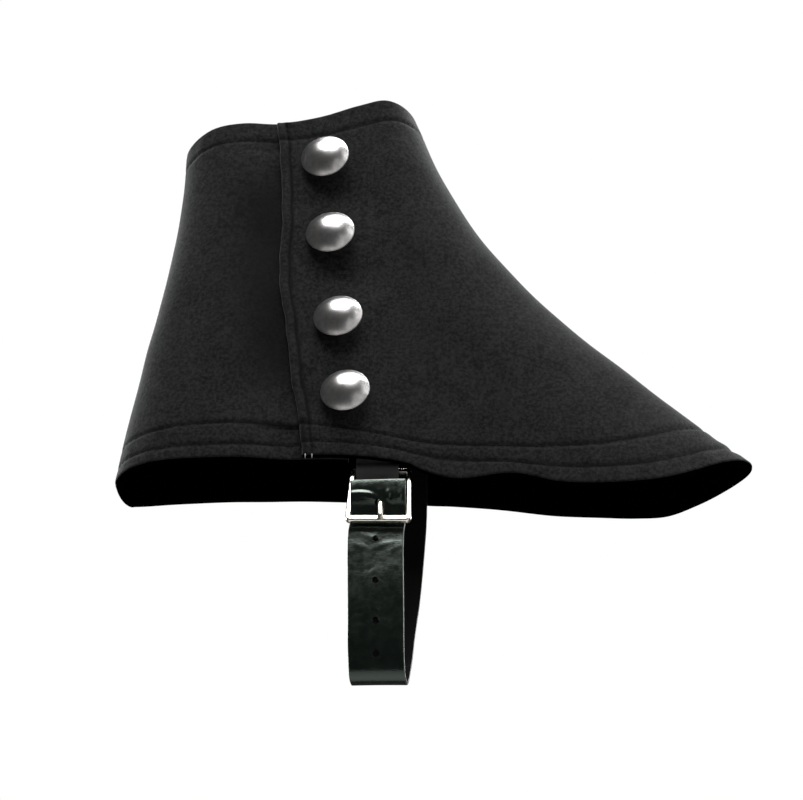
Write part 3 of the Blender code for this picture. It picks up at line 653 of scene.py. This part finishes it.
def makeStrip(name, look, route, shift=None, gap=None):
    line, even = routeLine(route, look["rowStep"])
    normal = unit(np.cross(unit(np.gradient(line, axis=0)), [1, 0, 0]))
    startClean()
    columns = look["columns"]
    bpy.ops.mesh.primitive_grid_add(x_subdivisions=columns, y_subdivisions=len(line) - 1, size=2)
    strip = bpy.context.object
    strip.name = strip.data.name = name
    flat = np.array([vertex.co for vertex in strip.data.vertices])
    across = flat[:, 0] * look["width"] / 2
    row = np.clip(np.round((flat[:, 1] + 1) / 2 * (len(line) - 1)).astype(int), 0, len(line) - 1)
    off = np.zeros(len(across)) if shift is None else shift(across, line[row], row)
    spots = line[row] + np.stack([across, np.zeros(len(across)), np.zeros(len(across))], axis=-1)
    spots = spots + normal[row] * off[:, None]
    strip.data.vertices.foreach_set("co", placed(spots).astype(np.float32).reshape(-1))
    layer = strip.data.uv_layers[0]
    layer.name = "strip"
    for loop in strip.data.loops:
        i = loop.vertex_index
        layer.data[loop.index].uv = (across[i] * mm, even[row[i]] * mm)
    if gap is not None:
        pick(strip, "FACE", lambda f: gap(f.center.x / mm + spat["openingX"], f.center.y / mm,
                                          f.center.z / mm + spat["openingZ"]))
        bpy.ops.mesh.delete(type="FACE")
        bpy.ops.object.mode_set(mode="OBJECT")
    for _ in range(2):
        strip.data.materials.append(None)
    wall = strip.modifiers.new("wall", "SOLIDIFY")
    wall.thickness = look["thick"] * mm
    wall.offset = 0
    wall.use_even_offset = True
    wall.material_offset = 1      # the side that lies inwards
    addBevel(strip, look["edgeRound"], 3)
    applyAll(strip)
    return strip, line, normal


def strapShift(across, spots, row):
    look = strapLook
    off = np.zeros(len(across))
    outside = row > row[np.argmin(spots[:, 2])]
    z = spots[:, 2]
    for height, at, long, wide, deep, tilt in zip(*creases.values()):
        u, v = across - at, z - height
        along = u * math.cos(tilt) + v * math.sin(tilt)
        side = v * math.cos(tilt) - u * math.sin(tilt) + look["creaseBend"] * along ** 2
        valley = np.exp(-(side / wide) ** 2)
        lip = look["creaseLip"] * np.exp(-((side - look["creaseLipAt"] * wide) / wide) ** 2)
        off -= deep * np.exp(-(along / long) ** 2) * (valley - lip)
    for hole in look["holes"]:
        reach = np.sqrt(across ** 2 + (z - hole) ** 2)
        off -= look["holeDimple"] * np.exp(-(reach / look["holeSpread"]) ** 2)
    off = np.where(outside, off, 0)
    share = across / look["bowHalf"]
    twist = look["twist"] * np.sin(z / look["twistLong"]) * share
    bow = look["bow"] * np.sin(z / look["bowLong"] + 1) * (1 - share ** 2)
    return off + twist + bow


def punch(strip, line, normal):
    look = strapLook
    lowest = int(np.argmin(line[:, 2]))
    run, runNormal = line[lowest:], normal[lowest:]
    holes = [(height, look["holeRadius"]) for height in look["holes"]]
    for height, long in holes + [(look["prongHole"], look["prongHoleLong"])]:
        here = pointAt(height, run[:, 2], run)
        through = Vector(pointAt(height, run[:, 2], runNormal)).normalized()
        startClean()
        radius = look["holeRadius"]
        bpy.ops.mesh.primitive_cylinder_add(vertices=look["holeSides"], radius=radius * mm,
                                            depth=look["holeCut"] * mm)
        cutter = bpy.context.object
        turn = through.to_track_quat("Z", "X").to_matrix().to_4x4()
        stretch = Matrix.Diagonal((long / radius, 1, 1, 1))
        cutter.matrix_world = Matrix.Translation(Vector(placed(here))) @ turn @ stretch
        cut = strip.modifiers.new("hole", "BOOLEAN")
        cut.operation = "DIFFERENCE"
        cut.object = cutter
        applyAll(strip)
        bpy.data.objects.remove(cutter, do_unlink=True)


# Buckle
buckleLook = {
    "x": 115.1, "barY": -11.7, "barZ": -3.8, "wide": 28.2, "high": 29.2, "thick": 2.6,
    "tilt": 7.5, "roll": 1.4, "sideBar": 2.2, "upperBar": 2.2, "lowerBar": 3.0, "cornerBand": 1.8,
    "corner": 2.4, "roundOff": 0.55, "topNarrow": 0.935, "topShift": 0.5, "smoothAngle": 40,
}
prongLook = {
    "ring": 2.5, "ringFrom": 110, "ringTo": 230, "ringStep": 20, "wide": 1.4, "thick": 0.8, "sides": 14,
    "tip": 0.95, "tipFrom": 0.94, "tipTaper": 0.75, "rootShare": 0.03, "rootTaper": 0.4,
    "rowStep": 0.6, "smoothAngle": 50,
    "y": [-10.3, -11.4, -12.2, -13.4, -15.4, -16.8, -17.4, -17.7],
    "z": [-8.0, -11.0, -14.5, -18.2, -21.2, -24.4, -28.0, -31.4],
}


def makeFrame():
    look = buckleLook
    startClean()
    bpy.ops.mesh.primitive_plane_add(size=1)
    piece = bpy.context.object
    piece.name = piece.data.name = "buckleFrame"
    openAll()
    bpy.ops.transform.resize(value=(look["wide"] * mm, look["high"] * mm, 1))
    bpy.ops.transform.translate(value=(0, (look["upperBar"] - look["high"]) / 2 * mm, 0))
    bpy.ops.mesh.bevel(offset=look["corner"] * mm, segments=5, affect="VERTICES")
    bpy.ops.mesh.select_all(action="SELECT")
    bpy.ops.mesh.inset(thickness=look["sideBar"] * mm, depth=0)
    bpy.ops.mesh.delete(type="FACE")
    bpy.ops.object.mode_set(mode="OBJECT")
    top = look["upperBar"] / 2 * mm
    bottom = top - look["high"] * mm
    inside = (look["wide"] / 2 - look["sideBar"]) * mm + nearly
    band = look["cornerBand"] * mm
    for vertex in piece.data.vertices:
        spot = vertex.co
        innerEdge = abs(spot.x) <= inside and bottom + band < spot.y < top - band
        if innerEdge and spot.y < (top + bottom) / 2:
            spot.y += (look["lowerBar"] - look["sideBar"]) * mm
        if innerEdge and spot.y > (top + bottom) / 2:
            spot.y -= (look["upperBar"] - look["sideBar"]) * mm
        rise = (spot.y - bottom) / (top - bottom)
        spot.x *= 1 - (1 - look["topNarrow"]) * smoothStep(rise)
        spot.x += look["topShift"] * (rise - 0.5) * mm
    openAll()
    bpy.ops.mesh.extrude_region_move(TRANSFORM_OT_translate={"value": (0, 0, look["thick"] * mm)})
    bpy.ops.mesh.select_all(action="SELECT")
    bpy.ops.transform.translate(value=(0, 0, -look["thick"] / 2 * mm))
    closeFacingOut()
    addBevel(piece, look["roundOff"], 4)
    applyAll(piece)
    upright = Matrix.Rotation(math.radians(90 - look["tilt"]), 4, "X")
    turn = upright @ Matrix.Rotation(math.radians(-look["roll"]), 4, "Z")
    setDown(piece, Matrix.Translation(Vector(placed([look["x"], look["barY"], look["barZ"]]))) @ turn)
    smoothBelow(piece, look["smoothAngle"])
    return piece


def makeProng():
    look = prongLook
    angles = np.radians(np.arange(look["ringFrom"], look["ringTo"] + 1, look["ringStep"]))
    ringY = buckleLook["barY"] - look["ring"] * np.cos(angles)
    ringZ = buckleLook["barZ"] + look["ring"] * np.sin(angles)
    ys = np.concatenate([ringY, look["y"]])
    zs = np.concatenate([ringZ, look["z"]])
    line, _ = routeLine(np.stack([np.full(len(ys), buckleLook["x"]), ys, zs], axis=-1), look["rowStep"])
    tangent = unit(np.gradient(line, axis=0))
    startClean()
    bpy.ops.mesh.primitive_circle_add(vertices=look["sides"], radius=1, fill_type="NGON")
    piece = bpy.context.object
    piece.name = piece.data.name = "buckleProng"
    openAll()
    for _ in range(len(line) - 1):
        bpy.ops.mesh.extrude_region_move(TRANSFORM_OT_translate={"value": (0, 0, 1)})
    bpy.ops.object.mode_set(mode="OBJECT")
    rows = np.round([vertex.co.z for vertex in piece.data.vertices]).astype(int)
    for vertex, row in zip(piece.data.vertices, rows):
        x, y = vertex.co.x, vertex.co.y
        share = row / (len(line) - 1)
        slim = 1 - (1 - look["tip"]) * share
        slim *= 1 - look["tipTaper"] * max(0, (share - look["tipFrom"]) / (1 - look["tipFrom"])) ** 2
        slim *= 1 - look["rootTaper"] * max(0, 1 - share / look["rootShare"])
        through = np.cross(tangent[row], [1, 0, 0])
        spot = line[row] + np.array([x * look["wide"] * slim, 0, 0]) + through * y * look["thick"] * slim
        vertex.co = placed(spot)
    openAll()
    closeFacingOut()
    smoothBelow(piece, look["smoothAngle"])
    return piece


# Node helpers
def addNode(tree, kind, **settings):
    node = tree.nodes.new(kind)
    for name, value in settings.items():
        if name in node.inputs:
            node.inputs[name].default_value = value
        else:
            setattr(node, name, value)
    return node


def noise(tree, place, scale, detail, rough):
    node = addNode(tree, "ShaderNodeTexNoise", Scale=scale, Detail=detail, Roughness=rough)
    tree.links.new(place, node.inputs["Vector"])
    return node.outputs["Fac"]


def maths(tree, kind, one, two):
    node = tree.nodes.new("ShaderNodeMath")
    node.operation = kind
    for socket, value in zip(node.inputs, (one, two)):
        if isinstance(value, (int, float)):
            socket.default_value = value
        else:
            tree.links.new(value, socket)
    return node.outputs[0]


def ramp(tree, source, black, white):
    # Grey from 0 where the source is at black to 1 where it is at white
    node = tree.nodes.new("ShaderNodeValToRGB")
    for element, at in zip(node.color_ramp.elements, (black, white)):
        element.position = at
    tree.links.new(source, node.inputs[0])
    return node.outputs[0]


def mixColour(tree, mask, one, two):
    node = tree.nodes.new("ShaderNodeMix")
    node.data_type = "RGBA"
    colourInputs = [socket for socket in node.inputs if socket.type == "RGBA"]
    for socket, value in zip(colourInputs, (one, two)):
        if isinstance(value, tuple):
            socket.default_value = (*value, 1)
        else:
            tree.links.new(value, socket)
    tree.links.new(mask, node.inputs[0])
    return [socket for socket in node.outputs if socket.type == "RGBA"][0]


def newGroup(name, outputs):
    # A group that is given a place and a size of grain
    group = bpy.data.node_groups.new(name, "ShaderNodeTree")
    group.interface.new_socket("Vector", in_out="INPUT", socket_type="NodeSocketVector")
    group.interface.new_socket("Size", in_out="INPUT", socket_type="NodeSocketFloat").default_value = 1.0
    for label in outputs:
        group.interface.new_socket(label, in_out="OUTPUT", socket_type="NodeSocketFloat")
    given = group.nodes.new("NodeGroupInput")
    scaled = group.nodes.new("ShaderNodeVectorMath")
    scaled.operation = "SCALE"
    group.links.new(given.outputs["Vector"], scaled.inputs[0])
    group.links.new(given.outputs["Size"], scaled.inputs["Scale"])
    return group, scaled.outputs[0], group.nodes.new("NodeGroupOutput")


def addGroup(tree, group, place):
    node = tree.nodes.new("ShaderNodeGroup")
    node.node_tree = group
    tree.links.new(place, node.inputs["Vector"])
    return node.outputs


def newMaterial(name):
    material = bpy.data.materials.new(name)
    material.use_nodes = True
    tree = material.node_tree
    place = tree.nodes.new("ShaderNodeTexCoord").outputs["Object"]
    return material, tree, tree.nodes["Principled BSDF"], place


def setInputs(shader, values):
    for name, value in values.items():
        shader.inputs[name].default_value = value


def addBump(tree, shader, height, strength, distance):
    bump = addNode(tree, "ShaderNodeBump", Strength=strength, Distance=distance)
    tree.links.new(height, bump.inputs["Height"])
    tree.links.new(bump.outputs[0], shader.inputs["Normal"])


def addRoughness(tree, shader, mask, low, high):
    spread = maths(tree, "MULTIPLY", mask, high - low)
    tree.links.new(maths(tree, "ADD", spread, low), shader.inputs["Roughness"])


def uvPart(tree, name, axis):
    split = tree.nodes.new("ShaderNodeSeparateXYZ")
    tree.links.new(addNode(tree, "ShaderNodeUVMap", uv_map=name).outputs[0], split.inputs[0])
    return split.outputs[axis]


# A noise is its scale, detail and roughness, a bump its strength and its depth in metres,
# and a ramp the places of black and white
feltLook = {
    # The third colour here is painted shade, laid along stitch grooves and beside the placket
    "deep": (0.0015, 0.0015, 0.0016), "nap": (0.019, 0.0191, 0.0195), "paintedShade": (0.0012, 0.0012, 0.0013),
    # These two colours are painted shade for the inside and the turned edges
    "inside": (0.0002, 0.0002, 0.0002), "shadedInsideNap": (0.0004, 0.0004, 0.0004),
    "fibreNoise": (2600, 5, 0.8), "clumpNoise": (640, 2, 0.6), "patchNoise": (95, 5, 0.7),
    "fibreRamp": (0.42, 0.58), "patchRamp": (0.36, 0.64), "clumpShare": 0.74, "clumpHeight": 0.25,
    "bump": (0.6, 0.0003), "rough": 0.95, "gloss": 0.1,
    "sheen": 0.3, "sheenRough": 0.3, "sheenTint": (0.6, 0.64, 0.63),
}
threadLook = {
    "black": (0.0025, 0.0025, 0.0028), "pale": (0.5, 0.48, 0.46),
    "noise": (2600, 2, 0.55), "dark": 0.5, "bump": (0.5, 0.0002), "rough": 0.9, "gloss": 0.1,
}
fleshLook = {
    "strap": (0.0022, 0.0022, 0.0022), "chape": (0.085, 0.085, 0.085),
    "noise": (1800, 3, 0.55), "dark": 0.6, "bump": (0.3, 0.0002), "rough": 0.85, "gloss": 0.15,
}
leatherLook = {
    "deep": (0.002, 0.0034, 0.0026), "worn": (0.005, 0.008, 0.006), "tint": (0.84, 1.0, 0.88),
    # The edge colour is a painted highlight along the strip's right-hand edge only
    "edge": (0.09, 0.095, 0.09), "edgeHighlightFrom": 0.0114, "edgeHighlightTo": 0.0117,
    "pebble": 1500, "pebbleHeight": 0.5, "wearNoise": (260, 4, 0.6), "wearRamp": (0.35, 0.7),
    "bump": (0.2, 0.0003), "rough": (0.15, 0.25), "gloss": 0.64,
}
metalLook = {"filmNoise": (420, 4, 0.6), "filmRamp": (0.38, 0.7)}
silverLook = {
    "bright": (0.54, 0.53, 0.52), "dull": (0.38, 0.37, 0.37), "rough": (0.29, 0.34), "brushed": 0.4,
    "noise": (75, 3, 0.7), "bump": (0.05, 0.0003),
}
nickelLook = {
    "bright": (0.86, 0.84, 0.78), "dull": (0.6, 0.57, 0.5), "rough": (0.16, 0.3),
    "noise": (900, 3, 0.55), "bump": (0.08, 0.0003),
}


def napGroup(look):
    # Short wool fibres, in clumps, over slow patches where the nap lies another way
    group, place, out = newGroup("woolNap", ["Fibre", "Patch", "Height"])
    fine = noise(group, place, *look["fibreNoise"])
    clumps = noise(group, place, *look["clumpNoise"])
    slow = noise(group, place, *look["patchNoise"])
    both = maths(group, "ADD", maths(group, "MULTIPLY", fine, 0.5), maths(group, "MULTIPLY", clumps, 0.5))
    group.links.new(ramp(group, both, *look["fibreRamp"]), out.inputs["Fibre"])
    group.links.new(ramp(group, slow, *look["patchRamp"]), out.inputs["Patch"])
    height = maths(group, "ADD", fine, maths(group, "MULTIPLY", clumps, look["clumpHeight"]))
    group.links.new(height, out.inputs["Height"])
    return group


def grainGroup(look):
    # Pebbled leather grain with fine breaks
    group, place, out = newGroup("leatherGrain", ["Wear", "Height"])
    cells = addNode(group, "ShaderNodeTexVoronoi", Scale=look["pebble"])
    group.links.new(place, cells.inputs["Vector"])
    broad = noise(group, place, *look["wearNoise"])
    group.links.new(ramp(group, broad, *look["wearRamp"]), out.inputs["Wear"])
    pebbles = maths(group, "MULTIPLY", cells.outputs["Distance"], look["pebbleHeight"])
    group.links.new(maths(group, "ADD", pebbles, broad), out.inputs["Height"])
    return group


def feltMaterial(name, nap, deep, top, sheen, gloss):
    look = feltLook
    material, tree, shader, place = newMaterial(name)
    fibres = addGroup(tree, nap, place)
    # Painted shade: the cloth darkens towards the shade colour along stitch grooves and beside the placket
    paintedShade = addNode(tree, "ShaderNodeAttribute", attribute_name="paintedShade").outputs["Fac"]
    patchy = maths(tree, "ADD", maths(tree, "MULTIPLY", fibres["Fibre"], look["clumpShare"]),
                   maths(tree, "MULTIPLY", fibres["Patch"], 1 - look["clumpShare"]))
    cloth = mixColour(tree, patchy, deep, top)
    tree.links.new(mixColour(tree, paintedShade, cloth, look["paintedShade"]), shader.inputs["Base Color"])
    addBump(tree, shader, fibres["Height"], *look["bump"])
    setInputs(shader, {"Roughness": look["rough"], "Specular IOR Level": gloss, "Sheen Weight": sheen,
                       "Sheen Roughness": look["sheenRough"], "Sheen Tint": (*look["sheenTint"], 1)})
    return material


def grainedMaterial(name, colour, look):
    # Thread, or the rough back of the leather: one colour with a darker grain
    material, tree, shader, place = newMaterial(name)
    grain = noise(tree, place, *look["noise"])
    dark = tuple(look["dark"] * part for part in colour)
    tree.links.new(mixColour(tree, grain, dark, colour), shader.inputs["Base Color"])
    addBump(tree, shader, grain, *look["bump"])
    setInputs(shader, {"Roughness": look["rough"], "Specular IOR Level": look["gloss"]})
    return material


def leatherMaterial(name, grain, look):
    material, tree, shader, place = newMaterial(name)
    skin = addGroup(tree, grain, place)
    # Painted highlight: a lighter line along the right-hand edge of the strip, read across its UV
    edge = addNode(tree, "ShaderNodeMapRange")
    setInputs(edge, {"From Min": look["edgeHighlightFrom"], "From Max": look["edgeHighlightTo"]})
    tree.links.new(uvPart(tree, "strip", "X"), edge.inputs["Value"])
    skinColour = mixColour(tree, skin["Wear"], look["deep"], look["worn"])
    tree.links.new(mixColour(tree, edge.outputs[0], skinColour, look["edge"]), shader.inputs["Base Color"])
    addRoughness(tree, shader, skin["Wear"], *look["rough"])
    addBump(tree, shader, skin["Height"], *look["bump"])
    setInputs(shader, {"Specular IOR Level": look["gloss"], "Specular Tint": (*look["tint"], 1)})
    return material


def metalMaterial(name, look, turned):
    material, tree, shader, place = newMaterial(name)
    film = ramp(tree, noise(tree, place, *metalLook["filmNoise"]), *metalLook["filmRamp"])
    tree.links.new(mixColour(tree, film, look["bright"], look["dull"]), shader.inputs["Base Color"])
    addRoughness(tree, shader, film, *look["rough"])
    setInputs(shader, {"Metallic": 1})
    if turned:
        # Fine lines round the middle, from the turning
        rings = tree.nodes.new("ShaderNodeCombineXYZ")
        tree.links.new(uvPart(tree, "turned", "Y"), rings.inputs["X"])
        place = rings.outputs[0]
        setInputs(shader, {"Anisotropic": look["brushed"]})
        around = addNode(tree, "ShaderNodeTangent", direction_type="UV_MAP", uv_map="turned")
        tree.links.new(around.outputs[0], shader.inputs["Tangent"])
    addBump(tree, shader, noise(tree, place, *look["noise"]), *look["bump"])
    return material


def dress(piece, *materials):
    slots = [face.material_index for face in piece.data.polygons]
    piece.data.materials.clear()
    for material in materials:
        piece.data.materials.append(material)
    if len(materials) > 1:
        piece.data.polygons.foreach_set("material_index", slots)


# Build the spat
woolNap = napGroup(feltLook)
outerColours = (feltLook["deep"], feltLook["nap"])
feltCloth = feltMaterial("blackFelt", woolNap, *outerColours, feltLook["sheen"], feltLook["gloss"])
# Painted shade for the inside and the turned edges: the felt made darker, without sheen or gloss
shadedFeltInside = feltMaterial("shadedFeltInside", woolNap, feltLook["inside"], feltLook["shadedInsideNap"], 0, 0)
blackThread = grainedMaterial("blackThread", threadLook["black"], threadLook)
paleThread = grainedMaterial("paleThread", threadLook["pale"], threadLook)
blackLeather = leatherMaterial("blackLeather", grainGroup(leatherLook), leatherLook)
fleshSide = grainedMaterial("fleshSide", fleshLook["strap"], fleshLook)
dullLeather = grainedMaterial("dullLeather", fleshLook["chape"], fleshLook)
turnedSilver = metalMaterial("turnedSilver", silverLook, True)
nickelPlate = metalMaterial("nickelPlate", nickelLook, False)
print("materials made")

ups = rowsUp()
edgeX = readCurve(placketEdge, "up", "x", ups)
wander = [high * np.sin(ups * beat + shift) for beat, shift, high in zip(*foldWaves.values())]
edgeX = edgeX + spat["foldWander"] * sum(wander)
edgeShare = shareAt(ups, edgeX)
lapShare = shareAt(ups, edgeX + readCurve(underlap, "up", "wide", ups))
nought, whole = np.zeros(len(ups)), np.ones(len(ups))


def underFront(levels, face):
    lead = face[..., 0] - (edgeX[:, None] - spat["lapLead"] - spat["lapRamp"])
    sunk = (thickness(levels)[:, None] + spat["lapGap"]) * smoothStep(lead / spat["lapRamp"])
    near = smoothStep((levels[:, None] - spat["liftFrom"]) / (1 - spat["liftFrom"]))
    near = near * (1 - smoothStep((face[..., 0] - edgeX[:, None]) / spat["liftFade"]))
    return sunk, spat["lapLift"] * sunk * near


frontPanel = makePanel("frontPanel", -1, edgeShare, whole, "fold", "seam")
backPanel = makePanel("backPanel", -1, nought, lapShare, "seam", None, sink=underFront)
innerPanel = makePanel("innerPanel", 1, nought, whole, "seam", "seam")
print("felt panels made")

# The columns where the rows start and stop. On the back panel they stop at the front panel's edge
lowRow = 4
edgeColumn = int(np.argmin(np.abs(backPanel["outer"][lowRow, :, 0] - edgeX[lowRow])))
rowEnds = {"front": (11, -14), "back": (6, edgeColumn), "inner": (6, -6)}
lowest = sewing["foldRowFrom"]
frontLines = [lineAcross(frontPanel, name, *rowEnds["front"]) for name in rowNames]
frontLines.append(lineUp(frontPanel, sewing["foldRow"], lowest, 1 - lowest))
frontLines.append(lineUp(frontPanel, sewing["foldRowLow"], lowest, sewing["foldRowLowTop"]))
frontStitches = sew("frontStitches", frontLines)
backLines = [lineAcross(backPanel, name, *rowEnds["back"]) for name in rowNames]
backStitches = sew("backStitches", backLines)
innerLines = [lineAcross(innerPanel, name, *rowEnds["inner"]) for name in rowNames]
innerStitches = sew("innerStitches", innerLines)
threadEnds = sewEnds("threadEnds", frontPanel, (sewing["foldRow"], sewing["foldRowLow"]))
print("stitches sewn")

# Each panel's cut: the rectangle round it, in metres, and its area with the turnings, in square metres
for panel, node, threads, flat, area in (
        (frontPanel, "front_outer", frontStitches, (0.230, 0.220), 0.0336),
        (backPanel, "back_outer", backStitches, (0.125, 0.214), 0.0218),
        (innerPanel, "inner_side", innerStitches, (0.302, 0.220), 0.0432)):
    piece = panel["object"]
    dress(piece, feltCloth, shadedFeltInside)
    dress(threads, blackThread)
    if panel is frontPanel:
        dress(threadEnds, paleThread)
        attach(threadEnds, "root")
    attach(piece, "root")
    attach(threads, "root")
    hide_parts(node)

buttonPlaces = zip(*(buttonLook[name] for name in ("z", "fromEdge", "upTilt", "backTilt")))
for number, values in enumerate(buttonPlaces, start=1):
    button = makeButton(f"button{number}", *values)
    dress(button, turnedSilver)
    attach(button, "root")
    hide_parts(f"button_{number}")
print("buttons turned")

strapRoute = list(zip(strapLook["x"], strapLook["y"], strapLook["z"]))
strap, strapLine, strapNormal = makeStrip("footStrap", strapLook, strapRoute, shift=strapShift)
punch(strap, strapLine, strapNormal)
ringAngles = np.radians(np.arange(chapeLook["ringFrom"], chapeLook["ringTo"] + 1, chapeLook["ringStep"]))
ringY = chapeLook["barY"] + chapeLook["ring"] * np.cos(ringAngles)
ringZ = chapeLook["barZ"] + chapeLook["ring"] * np.sin(ringAngles)
chapeYs = [*chapeLook["frontY"], *ringY, *chapeLook["backY"]]
chapeZs = [*chapeLook["frontZ"], *ringZ, *chapeLook["backZ"]]
chapeRoute = [(chapeLook["x"], y, z) for y, z in zip(chapeYs, chapeZs)]


def chapeSlot(x, y, z):
    behind = y > chapeLook["barY"] + chapeLook["slotFront"]
    return behind and abs(x - chapeLook["x"]) < chapeLook["slot"] / 2 and z < chapeLook["slotTop"]


chape, _, _ = makeStrip("buckleChape", chapeLook, chapeRoute, gap=chapeSlot)
dress(strap, blackLeather, fleshSide)
dress(chape, fleshSide, dullLeather)
smoothBelow(strap, strapLook["smoothAngle"])
smoothBelow(chape, chapeLook["smoothAngle"])
for piece, node in ((strap, "strap"), (chape, "chape")):
    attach(piece, "root")
    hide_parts(node)
print("strap and chape bent")

for piece, node in ((makeFrame(), "buckle_frame"), (makeProng(), "buckle_prong")):
    dress(piece, nickelPlate)
    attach(piece, "root")
    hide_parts(node)
print("buckle made")

# Floor, light and camera
stageLook = {
    "floorZ": -1.75, "floorSize": 3.6, "floorColour": (0.82, 0.82, 0.81), "floorRough": 0.8,
    "around": 0.07, "behind": 1.0,
}
lampLook = {
    "key": {"aim": (-0.03, -0.5, 0.97), "away": 1.5, "size": 1.0, "power": 41},
    "top": {"aim": (0.25, 0.12, 1.0), "away": 1.5, "size": 0.9, "power": 30},
    "front": {"aim": (0.75, -0.8, -0.35), "away": 1.8, "size": 1.5, "power": 4.5},
    "fill": {"aim": (0.95, -0.4, 0.5), "away": 1.6, "size": 0.9, "power": 5},
    "left": {"aim": (-0.85, 0.5, 0.3), "away": 1.4, "size": 0.9, "power": 32},
    "right": {"aim": (0.8, 0.6, 0.5), "away": 1.4, "size": 0.9, "power": 16},
}
cameraLook = {
    "azimuth": 2.0, "elevation": -34.0, "away": 2.4, "aim": (0.0446, 0.0, -0.1389), "lens": 247.35,
    "clip": (0.05, 60),
}


def makeStage():
    startClean()
    bpy.ops.mesh.primitive_plane_add(size=stageLook["floorSize"], location=(0, 0, stageLook["floorZ"]))
    floor = bpy.context.object
    floor.name = "floor"
    material, _, shader, _ = newMaterial("paleFloor")
    setInputs(shader, {"Base Color": (*stageLook["floorColour"], 1), "Roughness": stageLook["floorRough"]})
    dress(floor, material)
    world = bpy.data.worlds.new("studio")
    bpy.context.scene.world = world
    world.use_nodes = True
    tree = world.node_tree
    dim = tree.nodes["Background"]
    dim.inputs[0].default_value = (1, 1, 1, 1)
    dim.inputs[1].default_value = stageLook["around"]
    seen = tree.nodes.new("ShaderNodeBackground")
    seen.inputs[0].default_value = (1, 1, 1, 1)
    seen.inputs[1].default_value = stageLook["behind"]
    path = tree.nodes.new("ShaderNodeLightPath")
    mix = tree.nodes.new("ShaderNodeMixShader")
    tree.links.new(path.outputs["Is Camera Ray"], mix.inputs[0])
    tree.links.new(dim.outputs[0], mix.inputs[1])
    tree.links.new(seen.outputs[0], mix.inputs[2])
    tree.links.new(mix.outputs[0], tree.nodes["World Output"].inputs[0])


def makeLamps():
    target = Vector(cameraLook["aim"])
    for name, look in lampLook.items():
        data = bpy.data.lights.new(name + "Lamp", "AREA")
        data.energy = look["power"]
        data.size = look["size"]
        lamp = bpy.data.objects.new(name + "Lamp", data)
        bpy.context.scene.collection.objects.link(lamp)
        aim = Vector(look["aim"]).normalized()
        lamp.location = target + aim * look["away"]
        lamp.rotation_euler = aim.to_track_quat("Z", "Y").to_euler()


def makeCamera():
    data = bpy.data.cameras.new("camera")
    data.lens = cameraLook["lens"]
    data.clip_start, data.clip_end = cameraLook["clip"]
    camera = bpy.data.objects.new("camera", data)
    bpy.context.scene.collection.objects.link(camera)
    turn, rise = math.radians(cameraLook["azimuth"]), math.radians(cameraLook["elevation"])
    back = Vector((math.sin(turn) * math.cos(rise), -math.cos(turn) * math.cos(rise), math.sin(rise)))
    camera.location = Vector(cameraLook["aim"]) + back * cameraLook["away"]
    camera.rotation_euler = back.to_track_quat("Z", "Y").to_euler()
    bpy.context.scene.camera = camera


makeStage()
makeLamps()
makeCamera()
bpy.context.scene.view_settings.view_transform = "Standard"
print("studio ready")
